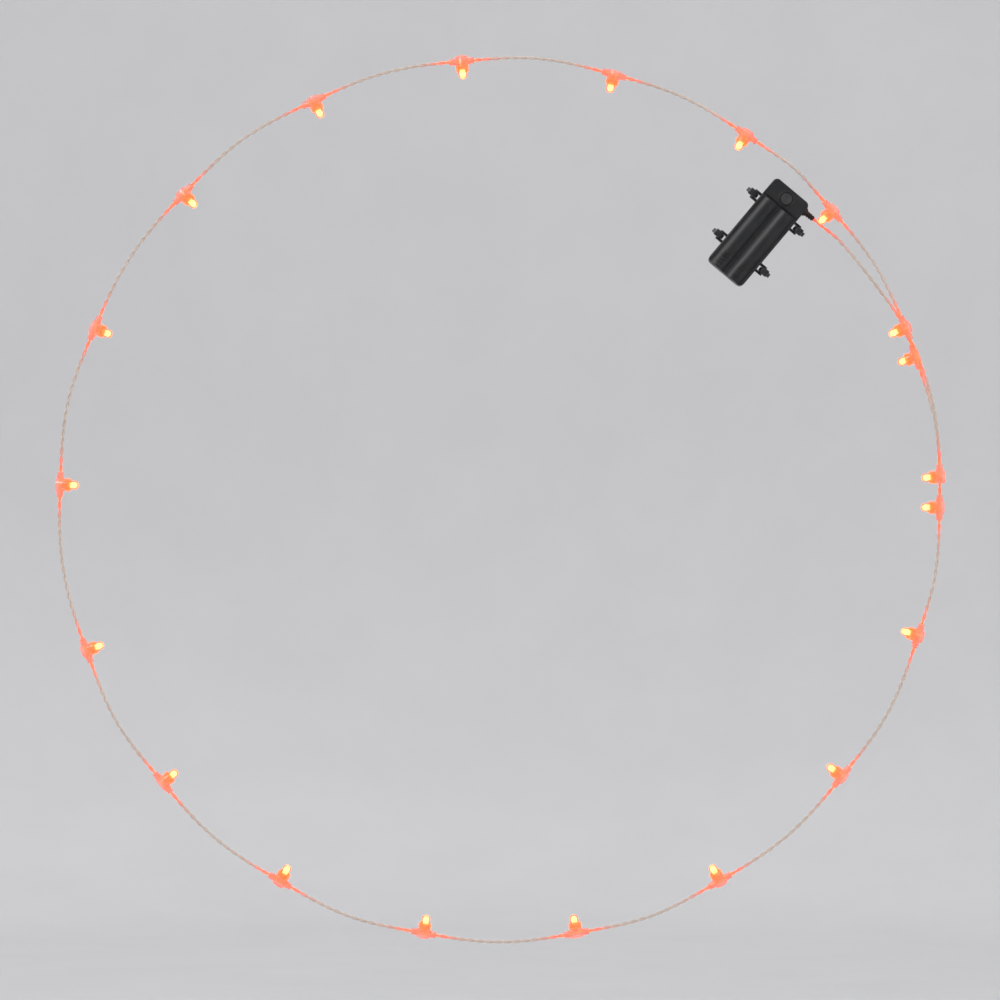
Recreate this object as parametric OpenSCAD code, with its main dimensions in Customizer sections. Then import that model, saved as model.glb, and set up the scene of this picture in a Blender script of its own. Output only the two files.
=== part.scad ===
// String light: a ring of twenty lamps on one wire, with its battery box and four cable ties.
// The ring's axis is the Y axis, the viewer stands at -Y, and the ring lies in the XZ plane.

/* [Ring] */
// Radius of the wire where it passes through the lamps
ring_r = 264; // [240:1:340]
// How much further out the wire lies midway between two lamps
hug = 1.5; // [0:0.5:3]
// How far the wire passes to either side of the ring's plane midway between two lamps
weave = 2.5; // [1:0.5:3.5]
// Sideways drift of the string from its first lamp to its last
lap_drift = 8; // [7.5:0.5:14]
// Diameter of the twisted pair of wires
wire_d = 2.2; // [1.6:0.1:2.6]

/* [Lamp] */
// Diameter of the lens
lens_d = 5; // [4.4:0.1:5.6]
// Length of the lens from its base to its tip
lens_l = 8; // [7:0.1:10]
// Diameter of the rim at the base of the lens
lens_rim_d = 5.8; // [5.7:0.1:6.4]
// Thickness of that rim
lens_rim_t = 1; // [0.6:0.1:1.4]
// Wall of the boot round the lens rim
boot_wall = 0.8; // [0.6:0.1:1.4]
// How deep the lens sits in the boot
boot_socket = 3; // [2:0.1:4]
// Distance from the middle of the wire to the base of the lens
lens_rise = 3.2; // [2.6:0.1:5]
// Wall of the boot's sleeve round the wire
sleeve_wall = 1.1; // [0.8:0.1:1.6]
// How far the boot stands out behind its sleeve
boot_back = 0.5; // [0.3:0.1:1]
// Length of the sleeve along the wire
sleeve_l = 15; // [11:0.5:17]
// Thickness of a lens leg
leg_w = 0.5; // [0.4:0.05:0.6]
// Distance between the two legs
leg_pitch = 2.54; // [2.3:0.02:2.8]
// Diameter of the reflector cup on the longer leg
cup_d = 1.7; // [1.2:0.1:2]
// Depth of the reflector cup
cup_h = 1; // [0.8:0.1:1.4]
// Height of the cup above the base of the lens
cup_rise = 3; // [2:0.1:4]

/* [Battery box] */
// Angle round the ring at which the box sits
box_angle = 46; // [44:0.5:48]
// How far the middle of the box lies inside the ring
box_drop = 41; // [40:1:60]
// Turn of the box from the radial line
box_skew = 4; // [0:0.5:6]
// Diameter of a cell
cell_d = 10.5; // [10:0.1:11]
// Length of a cell with its cap
cell_l = 44.5; // [43:0.1:46]
// Height of the cap on a cell
cap_h = 0.9; // [0.6:0.1:1.2]
// Diameter of the cap on a cell
cap_d = 3.8; // [3:0.1:4.4]
// Thickness of the side and end walls
wall = 1.8; // [1.6:0.1:2.4]
// Thickness of the floor
floor_t = 1.5; // [1.2:0.1:2.4]
// Thickness of the rib between the two cells
rib_t = 0.6; // [0.5:0.1:1.5]
// Height of that rib above the floor
rib_h = 3; // [2:0.1:4]
// Thickness of the wall between the cells and the switch
divider_t = 1.4; // [1.2:0.1:2.4]
// Length of the switch bay
switch_bay = 9.6; // [9.4:0.1:13]
// Radius of the upright corners
corner_r = 3; // [2:0.1:3.5]
// Height of the walls under the hood
hood_seat = 8.2; // [8:0.1:9]
// Thickness of the hood's top
hood_top = 1.4; // [1.2:0.1:1.6]

/* [Battery cover] */
// Thickness of the sliding plate and its tongues
plate_t = 1; // [0.8:0.1:1.4]
// How far a tongue reaches into the side wall
tongue = 0.8; // [0.5:0.05:0.9]
// Height of the lip above a tongue
lip_h = 1; // [0.8:0.1:1.4]
// Height of the humps above the walls
hump_h = 2.2; // [0.6:0.1:2.6]
// Width of the groove between the two humps
valley_w = 2.4; // [1.6:0.1:3.2]
// Travel of the cover, off towards the ring's axis
cover_travel = 52; // [40:1:56]

/* [Button and switch] */
// Diameter of the button
button_d = 7; // [5.5:0.1:7.2]
// How far the button stands above the hood
button_rise = 1; // [0.9:0.1:1.6]
// Travel of the button
button_travel = 0.6; // [0.3:0.05:0.8]
// Thickness of the flange that keeps the button in
flange_t = 1; // [0.7:0.1:1.2]
// How far that flange stands out from the button
flange_step = 0.8; // [0.5:0.1:1]
// Depth of the dish in the button's top
dish_depth = 0.3; // [0.1:0.05:0.5]
// Side of the square switch body
switch_w = 6; // [5:0.1:6.2]
// Height of the switch body
switch_h = 3.5; // [3:0.1:3.6]
// Diameter of the switch plunger
plunger_d = 3.2; // [2.6:0.1:3.6]
// Depth of the plunger inside the switch body at rest
plunger_in = 1.3; // [1:0.1:1.5]
// Thickness of the circuit board
board_t = 1; // [0.8:0.1:1.2]
// Width of the circuit board
board_w = 13; // [12:0.1:13.4]
// Height of the board's underside above the outside of the floor
board_z = 6; // [5.9:0.1:6.2]
// Depth of the ledges that carry the board
ledge = 1; // [0.8:0.1:1.4]

/* [Contacts] */
// Thickness of the contact plates
contact_t = 0.4; // [0.3:0.05:0.6]
// Side of a contact plate
contact_w = 8; // [6:0.1:8.6]
// Width of the tab that joins a plate to the board
tab_w = 2; // [1.4:0.1:2.6]
// Length of a cell spring as fitted
spring_l = 4.6; // [4.2:0.1:6]
// Diameter of the spring wire
spring_wire = 0.6; // [0.5:0.05:0.7]
// Radius of the spring's widest turn
spring_r = 3.2; // [2.8:0.1:3.6]
// Radius of the spring's narrowest turn
spring_tip_r = 2.1; // [1.8:0.1:2.4]

/* [Gland and ties] */
// Diameter of the gland where it passes through the wall
gland_d = 4; // [3.6:0.1:4.2]
// Diameter of the gland's two flanges
gland_flange_d = 5.4; // [5:0.1:5.6]
// Thickness of the gland's flanges
gland_flange_t = 1; // [0.8:0.1:1.2]
// Length of the gland's tapered nose
nose_l = 6; // [4:0.5:8]
// Diameter of the nose where the wire leaves it
nose_d = 3.2; // [2.8:0.1:3.6]
// Diameter of an inner lead
lead_d = 1; // [0.8:0.1:1.2]
// Radius of the bar that a tie goes round
bar_r = 1.3; // [1:0.1:1.6]
// Width of the slot between the wall and the bar
eye_slot = 2; // [1.9:0.1:2.6]
// Thickness of the arms of a tie eye
arm_t = 1.6; // [1.2:0.1:2.4]
// Height of the eyes above the middle of the box's side
eye_lift = 2; // [0:0.5:2.5]
// Distance between the two ties on one side
tie_span = 32; // [20:1:34]
// Distance from the middle of the box to the rod that a tie grips
spoke_offset = 20; // [19.6:0.1:24]
// Diameter of that rod
spoke_d = 2; // [1.8:0.1:2.4]
// Width of a tie
tie_w = 2.5; // [2:0.1:3.5]
// Thickness of a tie
tie_t = 0.9; // [0.7:0.1:1.2]
// Side of a tie's square head
tie_head = 4.2; // [3.6:0.1:4.6]
// Height of a tie's head
tie_head_h = 3; // [2.4:0.1:3.6]
// Length of the tail left above the head
tie_tail = 2; // [1:0.5:5]
// Outer diameter of a hood screw
screw_d = 2.2; // [1.8:0.1:2.4]
// Diameter of a screw head
screw_head_d = 3.8; // [3.4:0.1:4]
// Height of a screw head
screw_head_h = 0.8; // [0.6:0.1:1]
// Length of a screw under its head
screw_l = 7; // [5:0.5:8]
// Wall of the hood's screw bosses
boss_wall = 0.9; // [0.7:0.05:1]

/* [Clearances] */
// Room round each cell
cell_gap = 0.3; // [0.2:0.05:0.5]
// Room round a sliding piece
slide_gap = 0.15; // [0.1:0.05:0.3]
// Room round a fitted piece that does not move
fit_gap = 0.05; // [0.03:0.01:0.1]
// Room round the rod inside a tie
spoke_gap = 0.05; // [0.02:0.01:0.1]

/* [Hidden] */
$fn = 48;
part_eps = 0.01;
black_abs = "#1c1c1e";
rubber = "#262629";
clear_pvc = "#e9e6df";
lens_red = "#d8251c";
copper = "#b87746";
nickel = "#c9c8c2";

// Each lamp's angle round the ring and its tilt towards the viewer, in degrees, along the string
lamps = [
    [19, -6], [-1, 4], [-18, 16], [-39, 5], [-60, 12], [-80, -8], [-100, 6],
    [-120, 14], [-140, -5], [-160, 9], [-182, 3], [-203, -10], [-224, 11], [-245, 4],
    [-265, 15], [-285, -4], [-304, 13], [-319, 10], [-337, 12], [-357, 6]
];
lamp_count = len(lamps);
first_angle = lamps[0][0];
last_angle = lamps[lamp_count - 1][0];
function two_digits(k) = str(k < 10 ? "0" : "", k);
function lens_name(k) = str("lens_", two_digits(k));
function boot_name(k) = str("boot_", two_digits(k));

// Box layout: X along the box and away from the ring's axis, Y across it, Z from its back to its front
box_r = ring_r - box_drop;
cell_y = (cell_d + rib_t) / 2 + cell_gap;
bay_w = 2 * cell_y + cell_d + 2 * cell_gap;
bay_l = cell_l + spring_l + 2 * contact_t;
box_w = bay_w + 2 * wall;
box_l = 2 * wall + bay_l + divider_t + switch_bay;
cell_z = floor_t + cell_gap + cell_d / 2;
cover_z = cell_z + cell_d / 2 + cell_gap;
lip_z = cover_z + plate_t + slide_gap;
box_h = lip_z + lip_h;
hub_x = -box_l / 2;
rim_x = box_l / 2;
bay_x = hub_x + wall;
divider_x = bay_x + bay_l;
hood_x = divider_x + divider_t / 2;
switch_x = divider_x + divider_t;
switch_mid = switch_x + switch_bay / 2;
inner_w = box_w - 2 * wall;
inner_top = box_h - hood_top;
board_top = board_z + board_t;
switch_top = board_top + switch_h;
flange_z = inner_top - fit_gap - flange_t;
flange_d = button_d + 2 * flange_step;
plunger_top = flange_z - fit_gap;
boss_r = screw_d / 2 + boss_wall;
boss_x = switch_x + boss_r + fit_gap;
boss_y = inner_w / 2 - boss_r - fit_gap;
boss_z = floor_t + fit_gap;
gland_x = rim_x - wall - gland_flange_d / 2 - fit_gap;
gland_z = floor_t + gland_flange_d / 2 + fit_gap;
nose_y = -box_w / 2 - gland_flange_t - nose_l;
eye_z = box_h / 2 + eye_lift;
bar_y = box_w / 2 + eye_slot + bar_r;
eye_w = tie_w + 4 * slide_gap;
contact_z0 = cell_z - contact_w / 2;
cable_r = wire_d / 2;

// Lamp layout: Z points at the ring's axis from the middle of the wire, X runs along the wire
bore_r = cable_r + fit_gap;
sleeve_r = bore_r + sleeve_wall;
socket_r = lens_rim_d / 2 + fit_gap;
boot_r = socket_r + boot_wall;
boot_top = lens_rise + boot_socket;

function lamp_angle(k) = lamps[k - 1][0];
function lamp_y(a) = lap_drift / 2 - lap_drift * (first_angle - a) / (first_angle - last_angle);
function on_ring(a, r, y) = [r * cos(a), y, r * sin(a)];
function arc_angle(length) = length / ring_r * 180 / PI;

module at_lamp(k) {
    rotate([0, -lamps[k - 1][0], 0])
    translate([ring_r, lamp_y(lamps[k - 1][0]), 0])
    rotate([0, 0, lamps[k - 1][1]])
    rotate([0, -90, 0])
    children();
}

module at_box() {
    rotate([0, -box_angle, 0])
    translate([box_r, 0, 0])
    rotate([90, 0, 0])
    rotate([0, 0, box_skew])
    translate([0, 0, -box_h / 2])
    children();
}

// The same two placings for points
function turned(p, a) = [p[0] * cos(a) - p[1] * sin(a), p[0] * sin(a) + p[1] * cos(a), p[2]];
function from_box(p) =
    let (q = turned(p, box_skew), x = box_r + q[0], y = box_h / 2 - q[2], z = q[1])
    [x * cos(box_angle) - z * sin(box_angle), y, x * sin(box_angle) + z * cos(box_angle)];

module block(x, y, z) {
    translate([x[0], y[0], z[0]])
    cube([x[1] - x[0], y[1] - y[0], z[1] - z[0]]);
}

module rod_y(r, y0, y1) {
    translate([0, y0, 0])
    rotate([-90, 0, 0])
    cylinder(r = r, h = y1 - y0);
}

// A slab over the whole length of the box with round upright corners
module rounded_slab(z0, z1) {
    for (x = [hub_x + corner_r, rim_x - corner_r])
        for (y = [corner_r - box_w / 2, box_w / 2 - corner_r])
            translate([x, y, z0])
            cylinder(r = corner_r, h = z1 - z0);
    block([hub_x + corner_r, rim_x - corner_r], [-box_w / 2, box_w / 2], [z0, z1]);
    block([hub_x, rim_x], [corner_r - box_w / 2, box_w / 2 - corner_r], [z0, z1]);
}

// An eye on the side of the base for a tie
module tie_eye() {
    for (side = [-1, 1])
        translate([side * (eye_w + arm_t) / 2, 0, 0]) {
            block([-arm_t / 2, arm_t / 2], [box_w / 2 - wall / 2, bar_y], [-bar_r, bar_r]);
            translate([-arm_t / 2, bar_y, 0])
            rotate([0, 90, 0])
            cylinder(r = bar_r, h = arm_t);
        }
    translate([-eye_w / 2 - arm_t / 2, bar_y, 0])
    rotate([0, 90, 0])
    cylinder(r = bar_r, h = eye_w + arm_t);
}

module at_eyes() {
    for (x = [-tie_span / 2, tie_span / 2])
        for (side = [0, 1])
            mirror([0, side, 0])
            translate([x, 0, eye_z])
            children();
}

module box_base() {
    color(black_abs)
    at_box() {
        difference() {
            rounded_slab(0, box_h);
            // Bay for the cells, open at the top for the cover
            block([bay_x, divider_x], [-inner_w / 2, inner_w / 2], [floor_t, box_h + 1]);
            block([hub_x - 1, divider_x], [-inner_w / 2, inner_w / 2],
                [cover_z - slide_gap, box_h + 1]);
            block([hub_x - 1, divider_x],
                [-inner_w / 2 - tongue - slide_gap, inner_w / 2 + tongue + slide_gap],
                [cover_z - slide_gap, lip_z]);
            // Switch bay, with the hood's seat cut round it
            block([switch_x, rim_x - wall], [-inner_w / 2, inner_w / 2], [floor_t, box_h + 1]);
            block([hood_x, rim_x + 1], [-box_w / 2 - 1, -inner_w / 2],
                [hood_seat, box_h + 1]);
            block([hood_x, rim_x + 1], [inner_w / 2, box_w / 2 + 1],
                [hood_seat, box_h + 1]);
            block([rim_x - wall, rim_x + 1], [-box_w / 2, box_w / 2], [hood_seat, box_h + 1]);
            block([hood_x, switch_x + 1], [-box_w, box_w],
                [inner_top - fit_gap, box_h + 1]);
            // Slots for the contact tabs
            for (side = [-1, 1])
                block([divider_x - 1, switch_x + 1],
                    [side * cell_y - tab_w / 2 - fit_gap, side * cell_y + tab_w / 2 + fit_gap],
                    [board_top, board_top + contact_t + fit_gap]);
            // Gland hole and screw holes
            translate([gland_x, 0, gland_z])
            rod_y(gland_d / 2 + fit_gap, -box_w / 2 - 1, -inner_w / 2 + 1);
            for (side = [-1, 1])
                translate([boss_x, side * boss_y, -1]) {
                    cylinder(r = screw_d / 2 + fit_gap, h = floor_t + 2);
                    cylinder(r = screw_head_d / 2 + fit_gap, h = screw_head_h + 1);
                }
        }
        // Rib between the cells and ledges under the board
        block([bay_x - part_eps, divider_x + part_eps], [-rib_t / 2, rib_t / 2],
            [floor_t - part_eps, floor_t + rib_h]);
        block([switch_x - part_eps, switch_x + ledge], [-boss_y + boss_r + 2 * fit_gap,
            boss_y - boss_r - 2 * fit_gap], [floor_t - part_eps, board_z]);
        block([rim_x - wall - ledge, rim_x - wall + part_eps],
            [-boss_y + boss_r + 2 * fit_gap, boss_y - boss_r - 2 * fit_gap],
            [floor_t - part_eps, board_z]);
        at_eyes()
            tie_eye();
    }
}

module switch_hood() {
    pilot_l = screw_head_h + screw_l + fit_gap;
    color(black_abs)
    at_box()
    difference() {
        union() {
            difference() {
                intersection() {
                    rounded_slab(hood_seat, box_h);
                    block([hood_x, rim_x + 1], [-box_w, box_w], [0, box_h + 1]);
                }
                block([hood_x - 1, rim_x - wall], [-inner_w / 2, inner_w / 2],
                    [0, inner_top]);
            }
            for (side = [-1, 1])
                translate([boss_x, side * boss_y, boss_z])
                cylinder(r = boss_r, h = inner_top - boss_z + part_eps);
        }
        translate([switch_mid, 0, 0])
        cylinder(r = button_d / 2 + slide_gap, h = box_h + 1);
        for (side = [-1, 1])
            translate([boss_x, side * boss_y, 0])
            cylinder(r = screw_d / 2 + fit_gap, h = pilot_l);
    }
}

module battery_cover() {
    hump_y = valley_w / 2;
    panel_y = inner_w / 2 - slide_gap;
    hump_w = panel_y - hump_y;
    hump_r = (pow(hump_w / 2, 2) + pow(hump_h, 2)) / (2 * hump_h);
    end_x = divider_x - 2 * slide_gap;
    groove_r = 0.6;
    groove_pitch = 2.25;
    grooves = 4;
    grip_x = hub_x + corner_r;
    grip_l = grooves * groove_pitch;
    land = 2;
    color(black_abs)
    at_box()
    intersection() {
        rounded_slab(0, box_h + hump_h);
        difference() {
            union() {
                block([hub_x, end_x], [-inner_w / 2 - tongue, inner_w / 2 + tongue],
                    [cover_z, cover_z + plate_t]);
                block([hub_x, end_x], [-panel_y, panel_y], [cover_z + plate_t / 2, box_h]);
                for (side = [-1, 1])
                    translate([hub_x, side * (hump_y + hump_w / 2), box_h + hump_h - hump_r])
                    rotate([0, 90, 0])
                    intersection() {
                        cylinder(r = hump_r, h = end_x - hub_x, $fn = 96);
                        block([-2 * hump_r, -hump_r + hump_h + lip_h / 2],
                            [-hump_w / 2, hump_w / 2], [0, end_x - hub_x]);
                    }
            }
            // Groove between the humps and grip grooves at the inner end
            block([hub_x + grip_l + land, end_x - land], [-hump_y, hump_y],
                [box_h - lip_h / 2, box_h + 1]);
            for (i = [0:grooves - 1])
                translate([grip_x + i * groove_pitch, 0, box_h + hump_h])
                rod_y(groove_r, -box_w, box_w);
        }
    }
}

module hood_screws() {
    cross_w = 0.5;
    cross_h = 0.7 * screw_head_h;
    color(nickel)
    at_box()
    for (side = [-1, 1])
        translate([boss_x, side * boss_y, 0])
        difference() {
            union() {
                cylinder(r = screw_head_d / 2, h = screw_head_h);
                cylinder(r = screw_d / 2, h = screw_head_h + screw_l);
            }
            for (turn = [0, 90])
                rotate([0, 0, turn])
                block([-screw_d / 2, screw_d / 2], [-cross_w / 2, cross_w / 2], [-1, cross_h]);
        }
}

module mode_button() {
    dish_r = 12;
    color(rubber)
    at_box()
    translate([switch_mid, 0, 0]) {
        translate([0, 0, flange_z])
        cylinder(r = flange_d / 2, h = flange_t);
        difference() {
            translate([0, 0, flange_z])
            cylinder(r = button_d / 2, h = box_h + button_rise - flange_z);
            // Dished top
            translate([0, 0, box_h + button_rise + dish_r - dish_depth])
            sphere(r = dish_r, $fn = 96);
        }
    }
}

module switch_plunger() {
    color(rubber)
    at_box()
    translate([switch_mid, 0, switch_top - plunger_in])
    cylinder(r = plunger_d / 2, h = plunger_top - switch_top + plunger_in);
}

module switch_body() {
    color("#3a3a3c")
    at_box()
    translate([switch_mid, 0, 0])
    difference() {
        block([-switch_w / 2, switch_w / 2], [-switch_w / 2, switch_w / 2],
            [board_top, switch_top]);
        translate([0, 0, switch_top - plunger_in - button_travel - slide_gap])
        cylinder(r = plunger_d / 2 + slide_gap, h = switch_h);
    }
}

module circuit_board() {
    color("#2f6b3a")
    at_box()
    block([switch_x + fit_gap, rim_x - wall - fit_gap], [-board_w / 2, board_w / 2],
        [board_z, board_top]);
}

module driver_chip() {
    chip = [4, 5, 1.5];
    color("#222224")
    at_box()
    block([switch_mid - chip[0] / 2, switch_mid + chip[0] / 2], [0, chip[1]],
        [board_z - chip[2], board_z]);
}

module series_resistor() {
    body = [3, 1.6, 0.7];
    margin = 0.8;
    place_x = switch_mid + margin;
    place_y = board_w / 2 - body[1] - margin;
    color("#5a4a3a")
    at_box()
    block([place_x, place_x + body[0]], [place_y, place_y + body[1]],
        [board_top, board_top + body[2]]);
}

// A cell on its side: its cap end touches a plate and its flat end a spring
module cell() {
    rim = 0.6;
    rotate([0, 90, 0])
    rotate_extrude($fn = 72)
    polygon([
        [0, 0], [cell_d / 2 - rim, 0], [cell_d / 2, rim], [cell_d / 2, cell_l - cap_h - rim],
        [cell_d / 2 - rim, cell_l - cap_h], [cap_d / 2, cell_l - cap_h], [cap_d / 2, cell_l], [0, cell_l]
    ]);
}

module cell_1() {
    color("#c9a24a")
    at_box()
    translate([bay_x + contact_t + spring_l, -cell_y, cell_z])
    cell();
}

module cell_2() {
    color("#c9a24a")
    at_box()
    translate([divider_x - contact_t - spring_l, cell_y, cell_z])
    rotate([0, 0, 180])
    cell();
}

// Rings of points swept along a route, as one closed tube of triangles
function unit(v) = v / norm(v);
function heading(route, i) =
    let (a = max(i, 1), b = min(i, len(route) - 2))
    unit(unit(route[a] - route[a - 1]) + unit(route[b + 1] - route[b]));
function ring_points(route, r, sides, side_axis) = [
    for (i = [0:len(route) - 1])
        let (t = heading(route, i), u = unit(cross(side_axis, t)), v = cross(t, u))
        for (s = [0:sides - 1])
            route[i] + r * (cos(360 * s / sides) * u + sin(360 * s / sides) * v)
];
function tube_faces(rings, sides) = concat(
    [for (i = [0:rings - 2]) for (s = [0:sides - 1])
        let (a = i * sides + s, b = i * sides + (s + 1) % sides)
        each [[a, a + sides, b], [b, a + sides, b + sides]]],
    [for (s = [1:sides - 2]) [0, s, s + 1]],
    [for (s = [1:sides - 2]) let (e = (rings - 1) * sides) [e, e + s + 1, e + s]]
);
module tube(route, r, sides, side_axis) {
    polyhedron(ring_points(route, r, sides, side_axis), tube_faces(len(route), sides));
}

// A cell spring that narrows from its plate to the cell
spring_turns = 3.5;
spring_sides = 8;
spring_steps = spring_sides * spring_turns;
spring_run = spring_l - spring_wire - 2 * fit_gap;
spring_route = [
    for (i = [0:spring_steps])
        let (t = i / spring_steps, r = spring_r + (spring_tip_r - spring_r) * t)
        let (turn = 360 * i / spring_sides)
        [spring_wire / 2 + fit_gap + spring_run * t, r * cos(turn), r * sin(turn)]
];
spring_clear = min([
    for (i = [0:spring_steps]) for (j = [0:spring_steps])
        if (j > i + spring_sides / 2) norm(spring_route[i] - spring_route[j])
]) - spring_wire;
echo(least_gap_between_spring_turns = spring_clear);

module cell_springs() {
    color(nickel)
    at_box() {
        translate([bay_x + contact_t, -cell_y, cell_z])
        tube(spring_route, spring_wire / 2, 6, [1, 0, 0]);
        translate([divider_x - contact_t, cell_y, cell_z])
        rotate([0, 0, 180])
        tube(spring_route, spring_wire / 2, 6, [1, 0, 0]);
    }
}

module link_plate() {
    color(nickel)
    at_box()
    difference() {
        block([bay_x, bay_x + contact_t], [-cell_y - contact_w / 2, cell_y + contact_w / 2],
            [contact_z0, contact_z0 + contact_w]);
        // Notch over the rib between the cells
        block([bay_x - 1, bay_x + 1], [-rib_t / 2 - cell_gap, rib_t / 2 + cell_gap],
            [0, floor_t + rib_h + fit_gap]);
    }
}

module terminal_plates() {
    color(nickel)
    at_box()
    for (side = [-1, 1])
        translate([0, side * cell_y, 0]) {
            block([divider_x - contact_t, divider_x], [-contact_w / 2, contact_w / 2],
                [contact_z0, contact_z0 + contact_w]);
            block([divider_x - contact_t, switch_x + ledge], [-tab_w / 2, tab_w / 2],
                [board_top, board_top + contact_t]);
        }
}

module wire_gland() {
    wall_in = -inner_w / 2 + fit_gap;
    wall_out = -box_w / 2 - fit_gap;
    color(rubber)
    at_box()
    translate([gland_x, 0, gland_z]) {
        rod_y(gland_flange_d / 2, wall_in, wall_in + gland_flange_t);
        rod_y(gland_d / 2, wall_out - part_eps, wall_in + part_eps);
        rod_y(gland_flange_d / 2, -box_w / 2 - gland_flange_t, wall_out);
        translate([0, nose_y, 0])
        rotate([-90, 0, 0])
        cylinder(r1 = nose_d / 2, r2 = gland_d / 2, h = nose_l + part_eps);
    }
}

module inner_leads() {
    start_y = -inner_w / 2 + fit_gap + gland_flange_t;
    turn_y = -board_w / 2 + lead_d;
    apart = 1.4 * lead_d;
    color("#b03028")
    at_box()
    for (side = [-1, 1])
        translate([gland_x + side * apart / 2, 0, gland_z]) {
            rod_y(lead_d / 2, start_y, turn_y);
            translate([0, turn_y, 0]) {
                sphere(r = lead_d / 2);
                cylinder(r = lead_d / 2, h = board_z - gland_z);
            }
        }
}

// Outline of a band drawn tight round two circles, seen along the rod
module band(r_bar, r_spoke, reach, width) {
    lean = acos((r_bar - r_spoke) / reach);
    rotate([0, 90, 0])
    translate([0, 0, -width / 2]) {
        cylinder(r = r_bar, h = width);
        translate([0, reach, 0])
        cylinder(r = r_spoke, h = width);
        linear_extrude(width)
        polygon([
            [-r_bar * sin(lean), r_bar * cos(lean)],
            [-r_spoke * sin(lean), reach + r_spoke * cos(lean)],
            [r_spoke * sin(lean), reach + r_spoke * cos(lean)],
            [r_bar * sin(lean), r_bar * cos(lean)]
        ]);
    }
}

module spoke_tie() {
    r_bar = bar_r + fit_gap;
    r_spoke = spoke_d / 2 + spoke_gap;
    reach = spoke_offset - bar_y;
    head_z = r_bar;
    difference() {
        union() {
            band(r_bar + tie_t, r_spoke + tie_t, reach, tie_w);
            translate([0, reach / 2, 0]) {
                block([-tie_head / 2, tie_head / 2], [-tie_head / 2, tie_head / 2],
                    [head_z, head_z + tie_head_h]);
                block([-tie_w / 2, tie_w / 2], [-tie_t / 2, tie_t / 2],
                    [head_z, head_z + tie_head_h + tie_tail]);
            }
        }
        band(r_bar, r_spoke, reach, tie_head + 2);
    }
}

module spoke_ties() {
    color(black_abs)
    at_box()
    at_eyes()
        translate([0, bar_y, 0])
        spoke_tie();
}

// Route of the string: out of the gland and through every lamp, from side to side between lamps
sleeve_half = arc_angle(sleeve_l / 2 + 0.5);
wire_start = from_box([gland_x, nose_y, gland_z]);
// Straight runs of wire from the gland, then places inwards of the ring and in degrees before a lamp
lead_runs = [4, 22];
lead_places = [[2, 8], [0, 4.5]];
function wave(k) = weave * (k % 2 == 0 ? 1 : -1);
function span_angle(k) = (lamp_angle(k) + lamp_angle(k + 1)) / 2;
string_route = concat(
    [wire_start],
    [for (run = lead_runs) from_box([gland_x, nose_y - run, gland_z])],
    [for (p = lead_places) on_ring(first_angle + p[1], ring_r - p[0], lap_drift / 2)],
    [for (k = [1:lamp_count]) each concat(
        [on_ring(lamp_angle(k) + sleeve_half, ring_r / cos(sleeve_half), lamp_y(lamp_angle(k)))],
        k == lamp_count
            ? [on_ring(lamp_angle(k), ring_r, lamp_y(lamp_angle(k)))]
            : [on_ring(lamp_angle(k) - sleeve_half, ring_r / cos(sleeve_half), lamp_y(lamp_angle(k))),
               on_ring(span_angle(k), ring_r + hug, lamp_y(span_angle(k)) + wave(k))]
    )]
);
function route_length(route, i = 1) =
    i == len(route) ? 0 : norm(route[i] - route[i - 1]) + route_length(route, i + 1);
echo(string_rings = len(string_route), string_length = route_length(string_route));

module string_wire() {
    color(clear_pvc)
    tube(string_route, cable_r, 8, [0, 1, 0]);
}

// The two legs of a lens: the longer one ends in the reflector cup
module legs() {
    for (side = [-1, 1])
        translate([side * leg_pitch / 2, 0, 0])
        block([-leg_w / 2, leg_w / 2], [-leg_w / 2, leg_w / 2],
            [cable_r + fit_gap, lens_rise + cup_rise]);
    translate([-leg_pitch / 2 + cup_d / 2, 0, lens_rise + cup_rise - part_eps])
    cylinder(r = cup_d / 2, h = cup_h);
}

module lens_legs() {
    color(nickel)
    for (k = [1:lamp_count])
        at_lamp(k)
        legs();
}

module lens(k) {
    dome_r = lens_d / 2;
    color(lens_red)
    at_lamp(k)
    difference() {
        translate([0, 0, lens_rise]) {
            cylinder(r = lens_rim_d / 2, h = lens_rim_t);
            cylinder(r = dome_r, h = lens_l - dome_r);
            translate([0, 0, lens_l - dome_r])
            sphere(r = dome_r);
        }
        legs();
    }
}

module boot(k) {
    last = k == lamp_count;
    half = sleeve_l / 2;
    chamber_r = (leg_pitch + leg_w) / 2 + 4 * fit_gap;
    color(clear_pvc)
    at_lamp(k)
    difference() {
        union() {
            translate([0, 0, -sleeve_r - boot_back])
            cylinder(r = boot_r, h = sleeve_r + boot_back + boot_top);
            rotate([0, 90, 0])
            translate([0, 0, last ? 0 : -half])
            cylinder(r = sleeve_r, h = last ? half : 2 * half);
        }
        // Bore for the wire, chamber for the legs and socket for the lens
        rotate([0, 90, 0])
        translate([0, 0, last ? -cable_r : -half - 1])
        cylinder(r = bore_r, h = 2 * half + 2);
        cylinder(r = chamber_r, h = boot_top);
        translate([0, 0, lens_rise])
        cylinder(r = socket_r, h = boot_socket + 1);
    }
}

box_base();
switch_hood();
battery_cover();
hood_screws();
mode_button();
switch_plunger();
switch_body();
circuit_board();
driver_chip();
series_resistor();
cell_1();
cell_2();
cell_springs();
link_plate();
terminal_plates();
wire_gland();
inner_leads();
spoke_ties();
string_wire();
lens_legs();
for (k = [1:lamp_count]) lens(k);
for (k = [1:lamp_count]) boot(k);
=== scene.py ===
import bpy
import math
from mathutils import Matrix, Vector


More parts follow.
